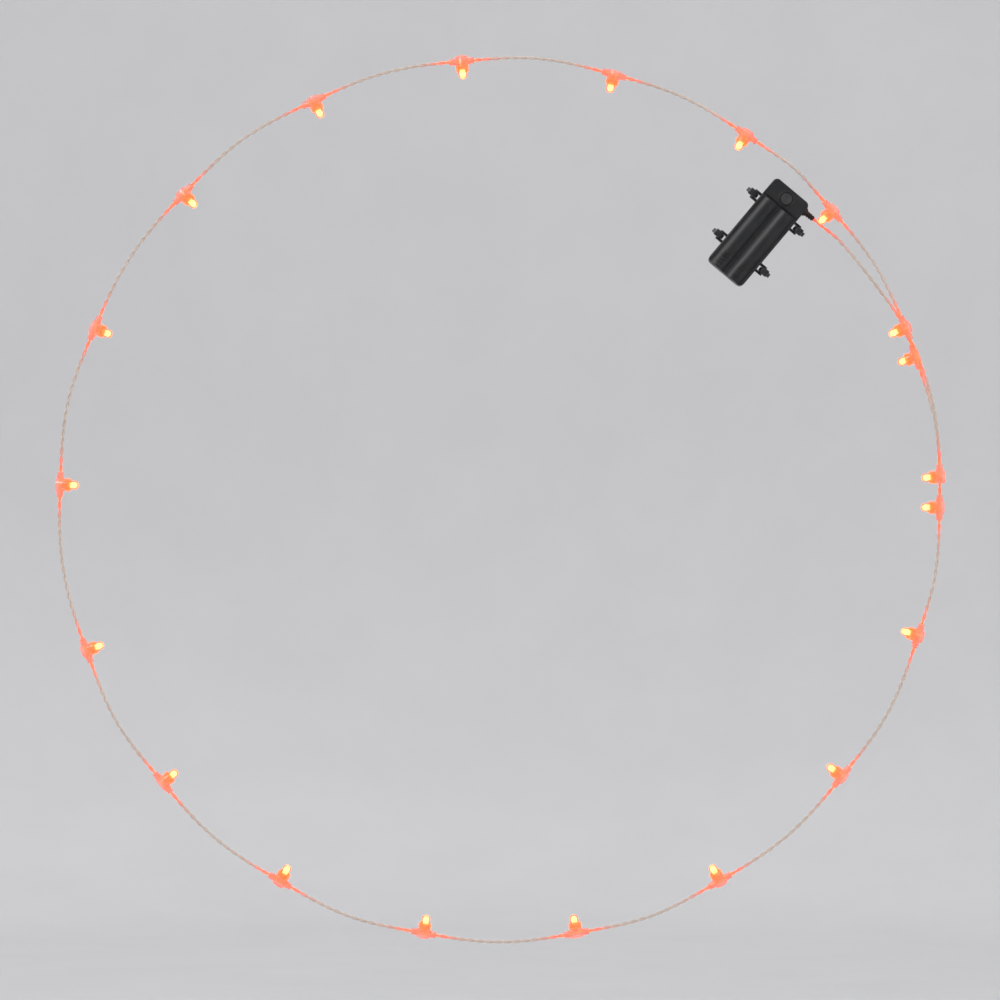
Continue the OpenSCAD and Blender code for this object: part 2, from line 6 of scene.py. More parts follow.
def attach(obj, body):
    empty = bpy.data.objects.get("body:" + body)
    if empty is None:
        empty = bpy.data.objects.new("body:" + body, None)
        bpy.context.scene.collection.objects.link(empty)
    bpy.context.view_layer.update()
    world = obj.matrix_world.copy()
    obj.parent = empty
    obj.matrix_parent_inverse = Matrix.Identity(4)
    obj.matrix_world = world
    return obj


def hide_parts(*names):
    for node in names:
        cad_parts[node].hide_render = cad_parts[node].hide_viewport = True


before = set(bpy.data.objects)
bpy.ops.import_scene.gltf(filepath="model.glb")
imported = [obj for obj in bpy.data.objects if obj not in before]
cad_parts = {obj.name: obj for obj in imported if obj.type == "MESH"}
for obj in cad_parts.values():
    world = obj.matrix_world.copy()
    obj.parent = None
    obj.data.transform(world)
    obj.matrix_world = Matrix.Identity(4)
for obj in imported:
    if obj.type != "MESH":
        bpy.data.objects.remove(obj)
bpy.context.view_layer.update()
mm = 0.001
mergeGap = 0.001 * mm   # points nearer than this are one
cutPast = 1.0           # millimetres that a cutter reaches past what it cuts
sameSpot = 0.02         # millimetres within which a corner counts as on a wall or level
print("stage: frame loaded")


# where the lamps and the box sit, in millimetres and degrees: the same sizes as in the solids
ringPlan = {
    "radius": 264.0, "hug": 1.5, "weave": 2.5, "drift": 8.0,
    "sleeveHalf": 8.0, "leadRuns": (4.0, 22.0), "leadPlaces": ((2.0, 8.0), (0.0, 4.5)),
    "lamps": (
        (19, -6), (-1, 4), (-18, 16), (-39, 5), (-60, 12), (-80, -8), (-100, 6),
        (-120, 14), (-140, -5), (-160, 9), (-182, 3), (-203, -10), (-224, 11), (-245, 4),
        (-265, 15), (-285, -4), (-304, 13), (-319, 10), (-337, 12), (-357, 6)),
}
boxPlan = {
    "angle": 46.0, "radius": 223.0, "skew": 4.0, "height": 14.75,
    "bayX": -30.45, "dividerX": 19.45, "cellY": 5.85, "cellZ": 7.05, "plate": 0.4,
    "switchX": 25.65, "boardZ": 6.0, "boardTop": 7.0, "switchTop": 10.5,
    "glandX": 27.70, "glandZ": 4.25, "noseY": -20.2,
    "eyeX": 16.0, "eyeZ": 9.375, "headY": 18.25,
}


def turnAbout(axis, degrees):
    return Matrix.Rotation(math.radians(degrees), 4, axis)


def shiftBy(x, y, z):
    return Matrix.Translation((x * mm, y * mm, z * mm))


def lampSide(angle):
    first, last = ringPlan["lamps"][0][0], ringPlan["lamps"][-1][0]
    return ringPlan["drift"] / 2 - ringPlan["drift"] * (first - angle) / (first - last)


def lampPlace(index):
    angle, tilt = ringPlan["lamps"][index]
    return (turnAbout("Y", -angle) @ shiftBy(ringPlan["radius"], lampSide(angle), 0)
            @ turnAbout("Z", tilt) @ turnAbout("Y", -90))


boxPlace = (turnAbout("Y", -boxPlan["angle"]) @ shiftBy(boxPlan["radius"], 0, 0) @ turnAbout("X", 90)
            @ turnAbout("Z", boxPlan["skew"]) @ shiftBy(0, 0, -boxPlan["height"] / 2))


def inBox(x, y, z):
    return boxPlace @ shiftBy(x, y, z)


# small helpers for modelling
def clearSelection():
    if bpy.context.mode != "OBJECT":
        bpy.ops.object.mode_set(mode="OBJECT")
    bpy.ops.object.select_all(action="DESELECT")


def pickOnly(piece):
    clearSelection()
    piece.select_set(True)
    bpy.context.view_layer.objects.active = piece


def openMesh(piece):
    pickOnly(piece)
    bpy.ops.object.mode_set(mode="EDIT")
    bpy.ops.mesh.select_all(action="SELECT")


# leaves the mesh open with only the edges picked whose two ends pass the test
def pickEdges(piece, test):
    openMesh(piece)
    bpy.ops.mesh.select_mode(type="EDGE")
    bpy.ops.mesh.select_all(action="DESELECT")
    bpy.ops.object.mode_set(mode="OBJECT")
    for edge in piece.data.edges:
        edge.select = test(*(piece.data.vertices[v].co for v in edge.vertices))
    bpy.ops.object.mode_set(mode="EDIT")


def bevelEdges(piece, test, width, segments):
    pickEdges(piece, test)
    bpy.ops.mesh.bevel(offset=width * mm, segments=segments, affect="EDGES", clamp_overlap=False)
    bpy.ops.mesh.select_mode(type="VERT")
    closeMesh(piece)


def closeMesh(piece, smoothAngle=35):
    if bpy.context.mode != "OBJECT":
        bpy.ops.object.mode_set(mode="OBJECT")
    pickOnly(piece)
    bpy.ops.object.shade_smooth_by_angle(angle=math.radians(smoothAngle))


# flat faces stay flat in the shading right up to their rounded edges
def evenShading(piece):
    closeMesh(piece)
    modifier = piece.modifiers.new("even", "WEIGHTED_NORMAL")
    modifier.keep_sharp = True
    applyAll(piece)


def settle(piece, place):
    pickOnly(piece)
    piece.matrix_world = place
    bpy.ops.object.transform_apply(location=True, rotation=True, scale=True)


def applyAll(piece):
    pickOnly(piece)
    for modifier in list(piece.modifiers):
        bpy.ops.object.modifier_apply(modifier=modifier.name)


# a round piece drawn up ring by ring: each step gives (radius, height)
def turnedPiece(name, steps, sides):
    clearSelection()
    radius, height = steps[0]
    bpy.ops.mesh.primitive_circle_add(vertices=sides, radius=radius * mm, fill_type="NGON")
    piece = bpy.context.object
    piece.name = name
    openMesh(piece)
    bpy.ops.transform.translate(value=(0, 0, height * mm))
    for nextRadius, nextHeight in steps[1:]:
        bpy.ops.mesh.extrude_region_move(
            TRANSFORM_OT_translate={"value": (0, 0, (nextHeight - height) * mm)})
        ratio = nextRadius / radius
        bpy.ops.transform.resize(value=(ratio, ratio, 1), center_override=(0, 0, 0))
        radius, height = nextRadius, nextHeight
    bpy.ops.mesh.select_all(action="SELECT")
    bpy.ops.mesh.normals_make_consistent(inside=False)
    closeMesh(piece)
    return piece


# a closed outline drawn point by point, filled and drawn out between two heights
def drawnPiece(name, outline, low, high):
    clearSelection()
    bpy.ops.mesh.primitive_plane_add(size=mm)
    piece = bpy.context.object
    piece.name = name
    openMesh(piece)
    bpy.ops.mesh.merge(type="CENTER")
    bpy.ops.mesh.select_all(action="SELECT")
    bpy.ops.transform.translate(value=(outline[0][0] * mm, outline[0][1] * mm, low * mm))
    for a, b in zip(outline, outline[1:] + outline[:1]):
        step = ((b[0] - a[0]) * mm, (b[1] - a[1]) * mm, 0)
        bpy.ops.mesh.extrude_vertices_move(TRANSFORM_OT_translate={"value": step})
    bpy.ops.mesh.select_all(action="SELECT")
    bpy.ops.mesh.remove_doubles(threshold=mergeGap)
    bpy.ops.mesh.edge_face_add()
    bpy.ops.mesh.extrude_region_move(TRANSFORM_OT_translate={"value": (0, 0, (high - low) * mm)})
    bpy.ops.mesh.select_all(action="SELECT")
    bpy.ops.mesh.normals_make_consistent(inside=False)
    closeMesh(piece)
    return piece


# a round wire along a line of points in millimetres, with closed ends
def wirePiece(name, line, radius, roundness=3):
    clearSelection()
    curve = bpy.data.curves.new(name, "CURVE")
    curve.dimensions = "3D"
    curve.bevel_depth = radius * mm
    curve.bevel_resolution = roundness
    curve.use_fill_caps = True
    spline = curve.splines.new("POLY")
    spline.points.add(len(line) - 1)
    for point, spot in zip(spline.points, line):
        point.co = (*(spot * mm), 1)
    piece = bpy.data.objects.new(name, curve)
    bpy.context.scene.collection.objects.link(piece)
    pickOnly(piece)
    bpy.ops.object.convert(target="MESH")
    piece = bpy.context.object
    openMesh(piece)
    bpy.ops.mesh.remove_doubles(threshold=mergeGap)
    bpy.ops.mesh.normals_make_consistent(inside=False)
    closeMesh(piece, 60)
    return piece


# a block between two corners, its edges rounded over unless it is a cutter
def blockPiece(name, low, high, rounding=0.0):
    clearSelection()
    bpy.ops.mesh.primitive_cube_add(size=mm)
    piece = bpy.context.object
    piece.name = name
    openMesh(piece)
    bpy.ops.transform.resize(value=[b - a for a, b in zip(low, high)], center_override=(0, 0, 0))
    bpy.ops.transform.translate(value=[(a + b) / 2 * mm for a, b in zip(low, high)])
    if rounding:
        bpy.ops.mesh.bevel(offset=rounding * mm, segments=2, affect="EDGES")
    closeMesh(piece)
    return piece


def joinPieces(pieces, name):
    clearSelection()
    for piece in pieces:
        piece.select_set(True)
    bpy.context.view_layer.objects.active = pieces[0]
    bpy.ops.object.join()
    pieces[0].name = name
    return pieces[0]


def combine(piece, tool, operation):
    modifier = piece.modifiers.new("combine", "BOOLEAN")
    modifier.operation = operation
    modifier.object = tool
    modifier.solver = "EXACT"
    applyAll(piece)
    bpy.data.objects.remove(tool)
    openMesh(piece)
    bpy.ops.mesh.dissolve_degenerate(threshold=mergeGap)
    closeMesh(piece)
    return piece


def roundEdges(piece, width, segments=2, angle=40):
    modifier = piece.modifiers.new("round", "BEVEL")
    modifier.width = width * mm
    modifier.segments = segments
    modifier.limit_method = "ANGLE"
    modifier.angle_limit = math.radians(angle)
    modifier.use_clamp_overlap = True
    applyAll(piece)
    closeMesh(piece)
    return piece


flatAngle = 0.4   # degrees within which a solid's triangles are one flat face


# a copy of a solid with its loose triangles merged, ready for rounding
def solidCopy(node, name):
    piece = bpy.data.objects.new(name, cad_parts[node].data.copy())
    bpy.context.scene.collection.objects.link(piece)
    piece.data.materials.clear()
    openMesh(piece)
    bpy.ops.mesh.remove_doubles(threshold=2 * mergeGap)
    bpy.ops.mesh.customdata_custom_splitnormals_clear()
    bpy.ops.mesh.dissolve_limited(angle_limit=math.radians(flatAngle))
    bpy.ops.mesh.select_all(action="SELECT")
    bpy.ops.mesh.normals_make_consistent(inside=False)
    closeMesh(piece)
    return piece


def setAttribute(piece, name, values):
    layer = piece.data.attributes.new(name, "FLOAT", "POINT")
    layer.data.foreach_set("value", values)


def finishPiece(piece, body, nodes=(), materials=()):
    if materials:
        piece.data.materials.clear()
    for material in materials:
        piece.data.materials.append(material)
    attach(piece, body)
    if nodes:
        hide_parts(*nodes)


# shader maths as plain expressions
class ShadeValue:
    def __init__(self, tree, socket):
        self.tree, self.socket = tree, socket

    def node(self, kind, sockets, out=0, stops=None, **settings):
        made = self.tree.nodes.new(kind)
        for name, value in settings.items():
            setattr(made, name, value)
        if stops:
            ramp = made.color_ramp
            for place, colour in stops[1:-1]:
                ramp.elements.new(place)
            for element, (place, colour) in zip(ramp.elements, stops):
                element.position = place
                element.color = colour
        for name, value in sockets.items():
            if isinstance(value, ShadeValue):
                self.tree.links.new(value.socket, made.inputs[name])
            else:
                made.inputs[name].default_value = value
        return ShadeValue(self.tree, made.outputs[out])

    def maths(self, operation, other, flip=False):
        first, second = (other, self) if flip else (self, other)
        return self.node("ShaderNodeMath", {0: first, 1: second}, operation=operation)

    def __add__(self, other):
        return self.maths("ADD", other)

    def __radd__(self, other):
        return self.maths("ADD", other, True)

    def __sub__(self, other):
        return self.maths("SUBTRACT", other)

    def __rsub__(self, other):
        return self.maths("SUBTRACT", other, True)

    def __mul__(self, other):
        return self.maths("MULTIPLY", other)

    def __rmul__(self, other):
        return self.maths("MULTIPLY", other, True)

    def noise(self, scale, detail=3.0, rough=0.55):
        return self.node("ShaderNodeTexNoise",
                         {"Vector": self, "Scale": scale, "Detail": detail, "Roughness": rough})

    def ramp(self, *stops):
        return self.node("ShaderNodeValToRGB", {0: self}, stops=stops)

    def between(self, low, high):
        return self.node("ShaderNodeMapRange", {0: self, 1: low, 2: high}, clamp=True)

    def blend(self, first, second):
        return self.node("ShaderNodeMix", {0: self, 6: first, 7: second}, out=2, data_type="RGBA")

    def bump(self, strength, distance):
        return self.node("ShaderNodeBump", {"Height": self, "Strength": strength, "Distance": distance})

    def turned(self, place):
        return self.node("ShaderNodeMapping", {
            "Vector": self, "Location": place.inverted().to_translation(),
            "Rotation": place.inverted().to_euler()})

    def parts(self):
        split = self.tree.nodes.new("ShaderNodeSeparateXYZ")
        self.tree.links.new(self.socket, split.inputs[0])
        return [ShadeValue(self.tree, socket) for socket in split.outputs]


def startFinish(name, **constants):
    material = bpy.data.materials.new(name)
    material.use_nodes = True
    tree = material.node_tree
    shader = tree.nodes["Principled BSDF"]
    for socket, value in constants.items():
        shader.inputs[socket.replace("_", " ")].default_value = value
    place = ShadeValue(tree, tree.nodes.new("ShaderNodeTexCoord").outputs["Object"])
    return material, shader, place


def feed(shader, **links):
    for socket, value in links.items():
        value.tree.links.new(value.socket, shader.inputs[socket.replace("_", " ")])


def ownValue(place, name):
    return place.node("ShaderNodeAttribute", {}, out=2, attribute_name=name)


# moulded black plastic: spark texture, faint mottling and pale rubbed scuffs
def makeBoxPlastic():
    look = {"dark": (0.007, 0.007, 0.008, 1), "light": (0.014, 0.014, 0.015, 1),
            "scuff": (0.06, 0.058, 0.055, 1)}
    material, shader, place = startFinish("boxPlastic", IOR=1.45, Specular_IOR_Level=0.4)
    mottle = place.noise(90.0, 4.0).between(0.3, 0.7)
    spark = place.noise(3200.0, 2.0, 0.6)
    scratch = place.node("ShaderNodeMapping", {"Vector": place, "Scale": (240.0, 2400.0, 900.0)})
    scuff = (scratch.noise(1.0, 2.0).between(0.66, 0.78) * place.noise(55.0, 2.0).between(0.5, 0.7))
    feed(shader, Base_Color=scuff.blend(mottle.blend(look["dark"], look["light"]), look["scuff"]),
         Roughness=0.34 + mottle * 0.08 + scuff * 0.2 + spark * 0.12,
         Normal=spark.bump(0.35, 0.06 * mm))
    return material


# plastics with a fine even grain
grainPlan = {
    "tieNylon": {
        "ior": 1.53, "scale": 420.0, "spread": (0.3, 0.7), "rough": (0.3, 0.2), "bump": (0.25, 0.05),
        "dark": (0.012, 0.012, 0.013, 1), "light": (0.026, 0.026, 0.028, 1)},
    "partEpoxy": {
        "ior": 1.55, "scale": 2400.0, "spread": (0.3, 0.75), "rough": (0.38, 0.2), "bump": (0.3, 0.04),
        "dark": (0.016, 0.015, 0.015, 1), "light": (0.045, 0.042, 0.04, 1)},
    "switchPlastic": {
        "ior": 1.5, "scale": 1500.0, "spread": (0.3, 0.7), "rough": (0.4, 0.18), "bump": (0.25, 0.05),
        "dark": (0.024, 0.024, 0.026, 1), "light": (0.055, 0.055, 0.058, 1)},
}


def makeGrained(name):
    look = grainPlan[name]
    material, shader, place = startFinish(name, IOR=look["ior"])
    grain = place.noise(look["scale"])
    (smooth, extra), (strength, depth) = look["rough"], look["bump"]
    feed(shader, Base_Color=grain.between(*look["spread"]).blend(look["dark"], look["light"]),
         Roughness=smooth + grain * extra, Normal=grain.bump(strength, depth * mm))
    return material


def makeSoftRubber():
    look = {"dark": (0.016, 0.016, 0.017, 1), "dusty": (0.045, 0.044, 0.042, 1)}
    material, shader, place = startFinish("softRubber", IOR=1.45)
    dust = place.noise(260.0, 5.0, 0.65).between(0.42, 0.72)
    skin = place.noise(2600.0, 2.0)
    feed(shader, Base_Color=dust.blend(look["dark"], look["dusty"]),
         Roughness=0.62 + dust * 0.2, Normal=skin.bump(0.3, 0.05 * mm))
    return material


# how far the lamps' light has soaked into the clear plastic, painted on: a painted glow, and a painted red
# tint of what shows through it
paintedWireGlowStops = (
    (0.0, (0.0, 0.0, 0.0, 1)), (0.25, (0.16, 0.005, 0.002, 1)), (0.55, (0.8, 0.05, 0.01, 1)),
    (0.82, (1.0, 0.17, 0.03, 1)), (1.0, (1.0, 0.38, 0.09, 1)))
paintedBootGlowStops = (
    (0.0, (0.0, 0.0, 0.0, 1)), (0.2, (0.14, 0.004, 0.002, 1)), (0.42, (0.7, 0.035, 0.007, 1)),
    (0.56, (1.0, 0.085, 0.012, 1)), (0.74, (1.0, 0.2, 0.035, 1)), (1.0, (1.0, 0.45, 0.12, 1)))
paintedRedLightStops = (
    (0.0, (0.84, 0.78, 0.7, 1)), (0.3, (0.9, 0.5, 0.4, 1)), (0.6, (0.92, 0.2, 0.1, 1)),
    (1.0, (0.95, 0.3, 0.1, 1)))


# clear soft plastic of the boots, with the light of its own lens painted in as a glow and a red tint
def makeBootPlastic():
    look = {"milky": (0.8, 0.74, 0.66, 1)}
    material, shader, place = startFinish(
        "bootPlastic", IOR=1.46, Transmission_Weight=0.78, Emission_Strength=1.2)
    cloud = place.noise(700.0, 3.0).between(0.35, 0.7)
    lit = ownValue(place, "lit")
    # the colour is partly the plastic's own milky clear tone and partly a painted red from the lens light;
    # the emission is a painted glow
    feed(shader, Base_Color=(cloud * 0.25).blend(lit.ramp(*paintedRedLightStops), look["milky"]),
         Roughness=0.12 + cloud * 0.14,
         Emission_Color=lit.ramp(*paintedBootGlowStops),
         Normal=place.noise(900.0, 2.0).bump(0.2, 0.08 * mm))
    return material


# clear insulation of the wire, with the light of the boots painted along it as a glow and a red tint
def makeWireJacket():
    look = {"milky": (0.6, 0.5, 0.41, 1)}
    material, shader, place = startFinish("wireJacket", IOR=1.46, Alpha=0.46, Emission_Strength=1.3)
    cloud = place.noise(520.0, 3.0).between(0.35, 0.7)
    lit = ownValue(place, "lit")
    # the colour is partly the jacket's own milky tone and partly a painted red from the lamps' light; the
    # emission is a painted glow
    feed(shader, Base_Color=(cloud * 0.4).blend(lit.ramp(*paintedRedLightStops), look["milky"]),
         Roughness=0.16 + cloud * 0.14,
         Emission_Color=lit.ramp(*paintedWireGlowStops))
    return material


def makeWireCopper():
    look = {"bright": (0.75, 0.36, 0.19, 1), "dull": (0.5, 0.22, 0.12, 1)}
    material, shader, place = startFinish("wireCopper", Metallic=1.0)
    tarnish = place.noise(160.0, 4.0).between(0.35, 0.7)
    strand = place.noise(4200.0, 2.0)
    feed(shader, Base_Color=tarnish.blend(look["bright"], look["dull"]),
         Roughness=0.24 + tarnish * 0.2, Normal=strand.bump(0.4, 0.06 * mm))
    return material


# red epoxy of a lens: clear enough to show the light inside, with a glow of its own
def makeLensShell():
    look = {"base": (0.92, 0.24, 0.12, 1), "body": (0.95, 0.3, 0.16, 1)}
    material, shader, place = startFinish(
        "lensShell", IOR=1.5, Transmission_Weight=0.92, Emission_Strength=0.7)
    swirl = place.noise(500.0, 2.0).between(0.3, 0.75)
    warmth = ownValue(place, "warmth")
    feed(shader, Base_Color=swirl.blend(look["base"], look["body"]),
         Roughness=0.05 + swirl * 0.05,
         Emission_Color=warmth.ramp((0.0, (0.7, 0.03, 0.006, 1)), (0.4, (1.0, 0.1, 0.018, 1)),
                                    (1.0, (1.0, 0.16, 0.03, 1))))
    return material


# the light inside it: pale yellow in the middle, orange towards its foot
def makeLampFire():
    material, shader, place = startFinish("lampFire", Roughness=0.4, Emission_Strength=2.6)
    warmth = ownValue(place, "warmth")
    feed(shader, Base_Color=warmth.ramp((0.0, (0.6, 0.1, 0.03, 1)), (1.0, (1.0, 0.8, 0.5, 1))),
         Emission_Color=warmth.ramp((0.0, (0.9, 0.2, 0.03, 1)), (0.35, (1.0, 0.66, 0.3, 1)),
                                    (0.7, (1.0, 0.86, 0.55, 1)), (1.0, (1.0, 0.8, 0.46, 1))))
    return material


def makeNickel():
    look = {"bright": (0.66, 0.64, 0.6, 1), "dull": (0.42, 0.4, 0.37, 1)}
    material, shader, place = startFinish("nickelPlate", Metallic=1.0)
    stain = place.noise(300.0, 5.0).between(0.4, 0.75)
    stretched = place.node("ShaderNodeMapping", {"Vector": place, "Scale": (300.0, 9000.0, 2600.0)})
    brushed = stretched.noise(1.0, 2.0)
    feed(shader, Base_Color=stain.blend(look["bright"], look["dull"]),
         Roughness=0.22 + stain * 0.22 + brushed * 0.08, Normal=brushed.bump(0.15, 0.03 * mm))
    return material


# green solder mask with paler tracks under it
def makeBoardMask():
    look = {"mask": (0.012, 0.085, 0.03, 1), "track": (0.03, 0.17, 0.055, 1)}
    material, shader, place = startFinish("boardMask", IOR=1.5, Coat_Weight=0.4)
    flat = place.turned(boxPlace)
    wave = flat.node(
        "ShaderNodeTexWave", {"Vector": flat, "Scale": 240.0, "Distortion": 3.0, "Detail": 1.0},
        out=1, wave_type="BANDS", bands_direction="Y")
    tracks = wave.between(0.62, 0.7)
    feed(shader, Base_Color=tracks.blend(look["mask"], look["track"]),
         Roughness=0.28 + place.noise(900.0).between(0.3, 0.8) * 0.15, Normal=tracks.bump(0.3, 0.04 * mm))
    return material


filmTops = (18.15, -29.15)   # where the film starts at the cap of the first cell and of the second


# printed film sleeve of a cell: plain body, a pale band towards the cap, bare metal at both ends
def makeCellFilm(name, capAtRim):
    look = {"body": (0.03, 0.07, 0.12, 1), "worn": (0.05, 0.1, 0.15, 1), "band": (0.62, 0.6, 0.52, 1),
            "metal": (0.62, 0.61, 0.58, 1), "bandFrom": 6.0, "bandTo": 12.0, "fade": 0.15,
            "capEnd": 0.55, "footEnd": 42.75, "endFade": 0.1}
    material, shader, place = startFinish(name, IOR=1.5)
    along = place.turned(boxPlace).parts()[0]
    wear = place.noise(380.0, 4.0).between(0.4, 0.75)
    fromCap = (filmTops[0] * mm - along) if capAtRim else (along - filmTops[1] * mm)

    def past(edge, fade):
        return fromCap.between(look[edge] * mm, (look[edge] + look[fade]) * mm)

    band = past("bandFrom", "fade") * (1 - past("bandTo", "fade"))
    bare = (1 - past("capEnd", "endFade")) + past("footEnd", "endFade")
    film = band.blend(wear.blend(look["body"], look["worn"]), look["band"])
    feed(shader, Base_Color=bare.blend(film, look["metal"]), Metallic=bare,
         Roughness=0.26 + wear * 0.16, Normal=place.noise(1400.0).bump(0.12, 0.04 * mm))
    return material


def makeLeadJacket():
    look = {"bright": (0.42, 0.03, 0.022, 1), "dull": (0.28, 0.02, 0.016, 1)}
    material, shader, place = startFinish("leadJacket", IOR=1.48)
    mottle = place.noise(600.0, 3.0).between(0.3, 0.7)
    feed(shader, Base_Color=mottle.blend(look["bright"], look["dull"]), Roughness=0.3 + mottle * 0.2)
    return material


tieNylon, partEpoxy, switchPlastic = (makeGrained(name) for name in grainPlan)
boxPlastic, softRubber = makeBoxPlastic(), makeSoftRubber()
nickelPlate, boardMask = makeNickel(), makeBoardMask()
bootPlastic, wireJacket, wireCopper = makeBootPlastic(), makeWireJacket(), makeWireCopper()
lensShell, lampFire, leadJacket = makeLensShell(), makeLampFire(), makeLeadJacket()
cellFilms = makeCellFilm("cellFilm1", True), makeCellFilm("cellFilm2", False)
print("stage: finishes made")


# camera, floor and light
studioPlan = {
    "distance": 3.0, "lens": 180.0, "farthest": 100.0,
    "floorZ": -0.335, "flat": 0.9, "cove": 0.4, "wall": 3.0, "sides": 96, "turns": 16,
    "paper": (0.58, 0.58, 0.59, 1), "dim": (0.5626, 0.5626, 0.5723, 1), "rough": 0.85, "world": 0.36,
    "lights": (
        ("keyLight", (-1.5, -2.0, 2.0), 1.4, 76.0),
        ("fillLight", (2.1, -1.8, 0.4), 1.4, 24.0),
        ("backLight", (0.4, 2.4, 1.9), 1.6, 20.0)),
}


def makeCamera():
    camera = bpy.data.objects.new("camera", bpy.data.cameras.new("camera"))
    bpy.context.scene.collection.objects.link(camera)
    camera.location = (0, -studioPlan["distance"], 0)
    camera.rotation_euler = (math.radians(90), 0, 0)
    camera.data.lens = studioPlan["lens"]
    camera.data.clip_end = studioPlan["farthest"]
    bpy.context.scene.camera = camera


# matt paper, see-through from behind so that the wall never hides the object
def makePaper():
    material, shader, place = startFinish("paper", Roughness=studioPlan["rough"])
    tooth = place.noise(14.0).between(0.3, 0.7)
    feed(shader, Base_Color=tooth.blend(studioPlan["paper"], studioPlan["dim"]))
    tree = place.tree
    behind = ShadeValue(tree, tree.nodes.new("ShaderNodeNewGeometry").outputs["Backfacing"])
    clear = ShadeValue(tree, tree.nodes.new("ShaderNodeBsdfTransparent").outputs[0])
    front = ShadeValue(tree, shader.outputs[0])
    both = behind.node("ShaderNodeMixShader", {0: behind, 1: front, 2: clear})
    tree.links.new(both.socket, tree.nodes["Material Output"].inputs["Surface"])
    return material


def makeStudio():
    clearSelection()
    floorZ, flat, cove = studioPlan["floorZ"], studioPlan["flat"], studioPlan["cove"]
    bpy.ops.mesh.primitive_circle_add(
        vertices=studioPlan["sides"], radius=flat, fill_type="NGON", location=(0, 0, floorZ))
    paper = bpy.context.object
    paper.name = "paper"
    bpy.ops.object.transform_apply(location=True)
    # sweep the round floor's edge up into a wall that stands behind the object from every side
    pickEdges(paper, lambda a, b: True)
    for step in range(studioPlan["turns"]):
        a, b = (math.radians(90 * (step + part) / studioPlan["turns"]) for part in (0, 1))
        wider = (flat + cove * math.sin(b)) / (flat + cove * math.sin(a))
        rise = cove * (math.cos(a) - math.cos(b))
        bpy.ops.mesh.extrude_edges_move(TRANSFORM_OT_translate={"value": (0, 0, rise)})
        bpy.ops.transform.resize(value=(wider, wider, 1), center_override=(0, 0, floorZ))
    bpy.ops.mesh.extrude_edges_move(TRANSFORM_OT_translate={"value": (0, 0, studioPlan["wall"])})
    bpy.ops.mesh.select_mode(type="VERT")
    bpy.ops.mesh.select_all(action="SELECT")
    bpy.ops.mesh.normals_make_consistent(inside=False)
    closeMesh(paper, 60)
    if paper.data.polygons[0].normal.z < 0:
        openMesh(paper)
        bpy.ops.mesh.flip_normals()
        closeMesh(paper, 60)
    paper.data.materials.append(makePaper())
    paper.visible_shadow = False
    for name, spot, size, power in studioPlan["lights"]:
        light = bpy.data.objects.new(name, bpy.data.lights.new(name, "AREA"))
        bpy.context.scene.collection.objects.link(light)
        light.data.size = size
        light.data.energy = power
        light.location = spot
        light.rotation_euler = (-Vector(spot)).to_track_quat("-Z", "Y").to_euler()
    world = bpy.data.worlds.new("studioWorld")
    bpy.context.scene.world = world
    world.use_nodes = True
    world.node_tree.nodes["Background"].inputs["Color"].default_value = (1, 1, 1, 1)
    world.node_tree.nodes["Background"].inputs["Strength"].default_value = studioPlan["world"]
    bpy.context.scene.view_settings.view_transform = "Standard"


makeCamera()
makeStudio()
print("stage: camera, floor and light")


# the string: two clear wires twisted together, from the gland through every lamp
stringPlan = {
    "diameter": 2.2, "strand": 1.1, "copper": 0.46, "twist": 11.0, "step": 1.5,
    # leak is how far the painted glow from a lamp reaches along the wire
    "sides": 8, "copperSides": 6, "leak": 15.0, "length": 1.845,
}


def onRing(angle, radius, side):
    a = math.radians(angle)
    return Vector((radius * math.cos(a), side, radius * math.sin(a)))


def fromBox(x, y, z):
    return (boxPlace @ Vector((x * mm, y * mm, z * mm))) / mm


def stringRoute():
    radius, lamps = ringPlan["radius"], ringPlan["lamps"]
    half = math.degrees(ringPlan["sleeveHalf"] / radius)
    outer = radius / math.cos(math.radians(half))
    points, ways = [], []
    for run in (0.0,) + ringPlan["leadRuns"]:
        points.append(fromBox(boxPlan["glandX"], boxPlan["noseY"] - run, boxPlan["glandZ"]))
        ways.append(None)
    for inward, before in ringPlan["leadPlaces"]:
        points.append(onRing(lamps[0][0] + before, radius - inward, ringPlan["drift"] / 2))
        ways.append(None)
    for k, (angle, tilt) in enumerate(lamps):
        side = lampSide(angle)
        along = onRing(angle - 90, 1.0, 0.0)
        points.append(onRing(angle + half, outer, side))
        ways.append(along)
        if k == len(lamps) - 1:
            points.append(onRing(angle, radius, side))
            ways.append(along)
        else:
            points.append(onRing(angle - half, outer, side))
            ways.append(along)
            middle = (angle + lamps[k + 1][0]) / 2
            wave = ringPlan["weave"] * (-1 if k % 2 == 0 else 1)
            points.append(onRing(middle, radius + ringPlan["hug"], lampSide(middle) + wave))
            ways.append(None)
    for i, way in enumerate(ways):
        if way is None:
            ways[i] = (points[min(i + 1, len(points) - 1)] - points[max(i - 1, 0)]).normalized()
    ways[0] = ways[1] = (points[1] - points[0]).normalized()
    return points, ways


# one smooth line through the route's points, in short even steps
def smoothLine(points, ways, step):
    line = []
    for i in range(len(points) - 1):
        a, b = points[i], points[i + 1]
        span = (b - a).length
        count = max(2, round(span / step))
        for n in range(count):
            t = n / count
            line.append((2 * t**3 - 3 * t**2 + 1) * a + (t**3 - 2 * t**2 + t) * span * ways[i]
                        + (3 * t**2 - 2 * t**3) * b + (t**3 - t**2) * span * ways[i + 1])
    line.append(points[-1])
    return line


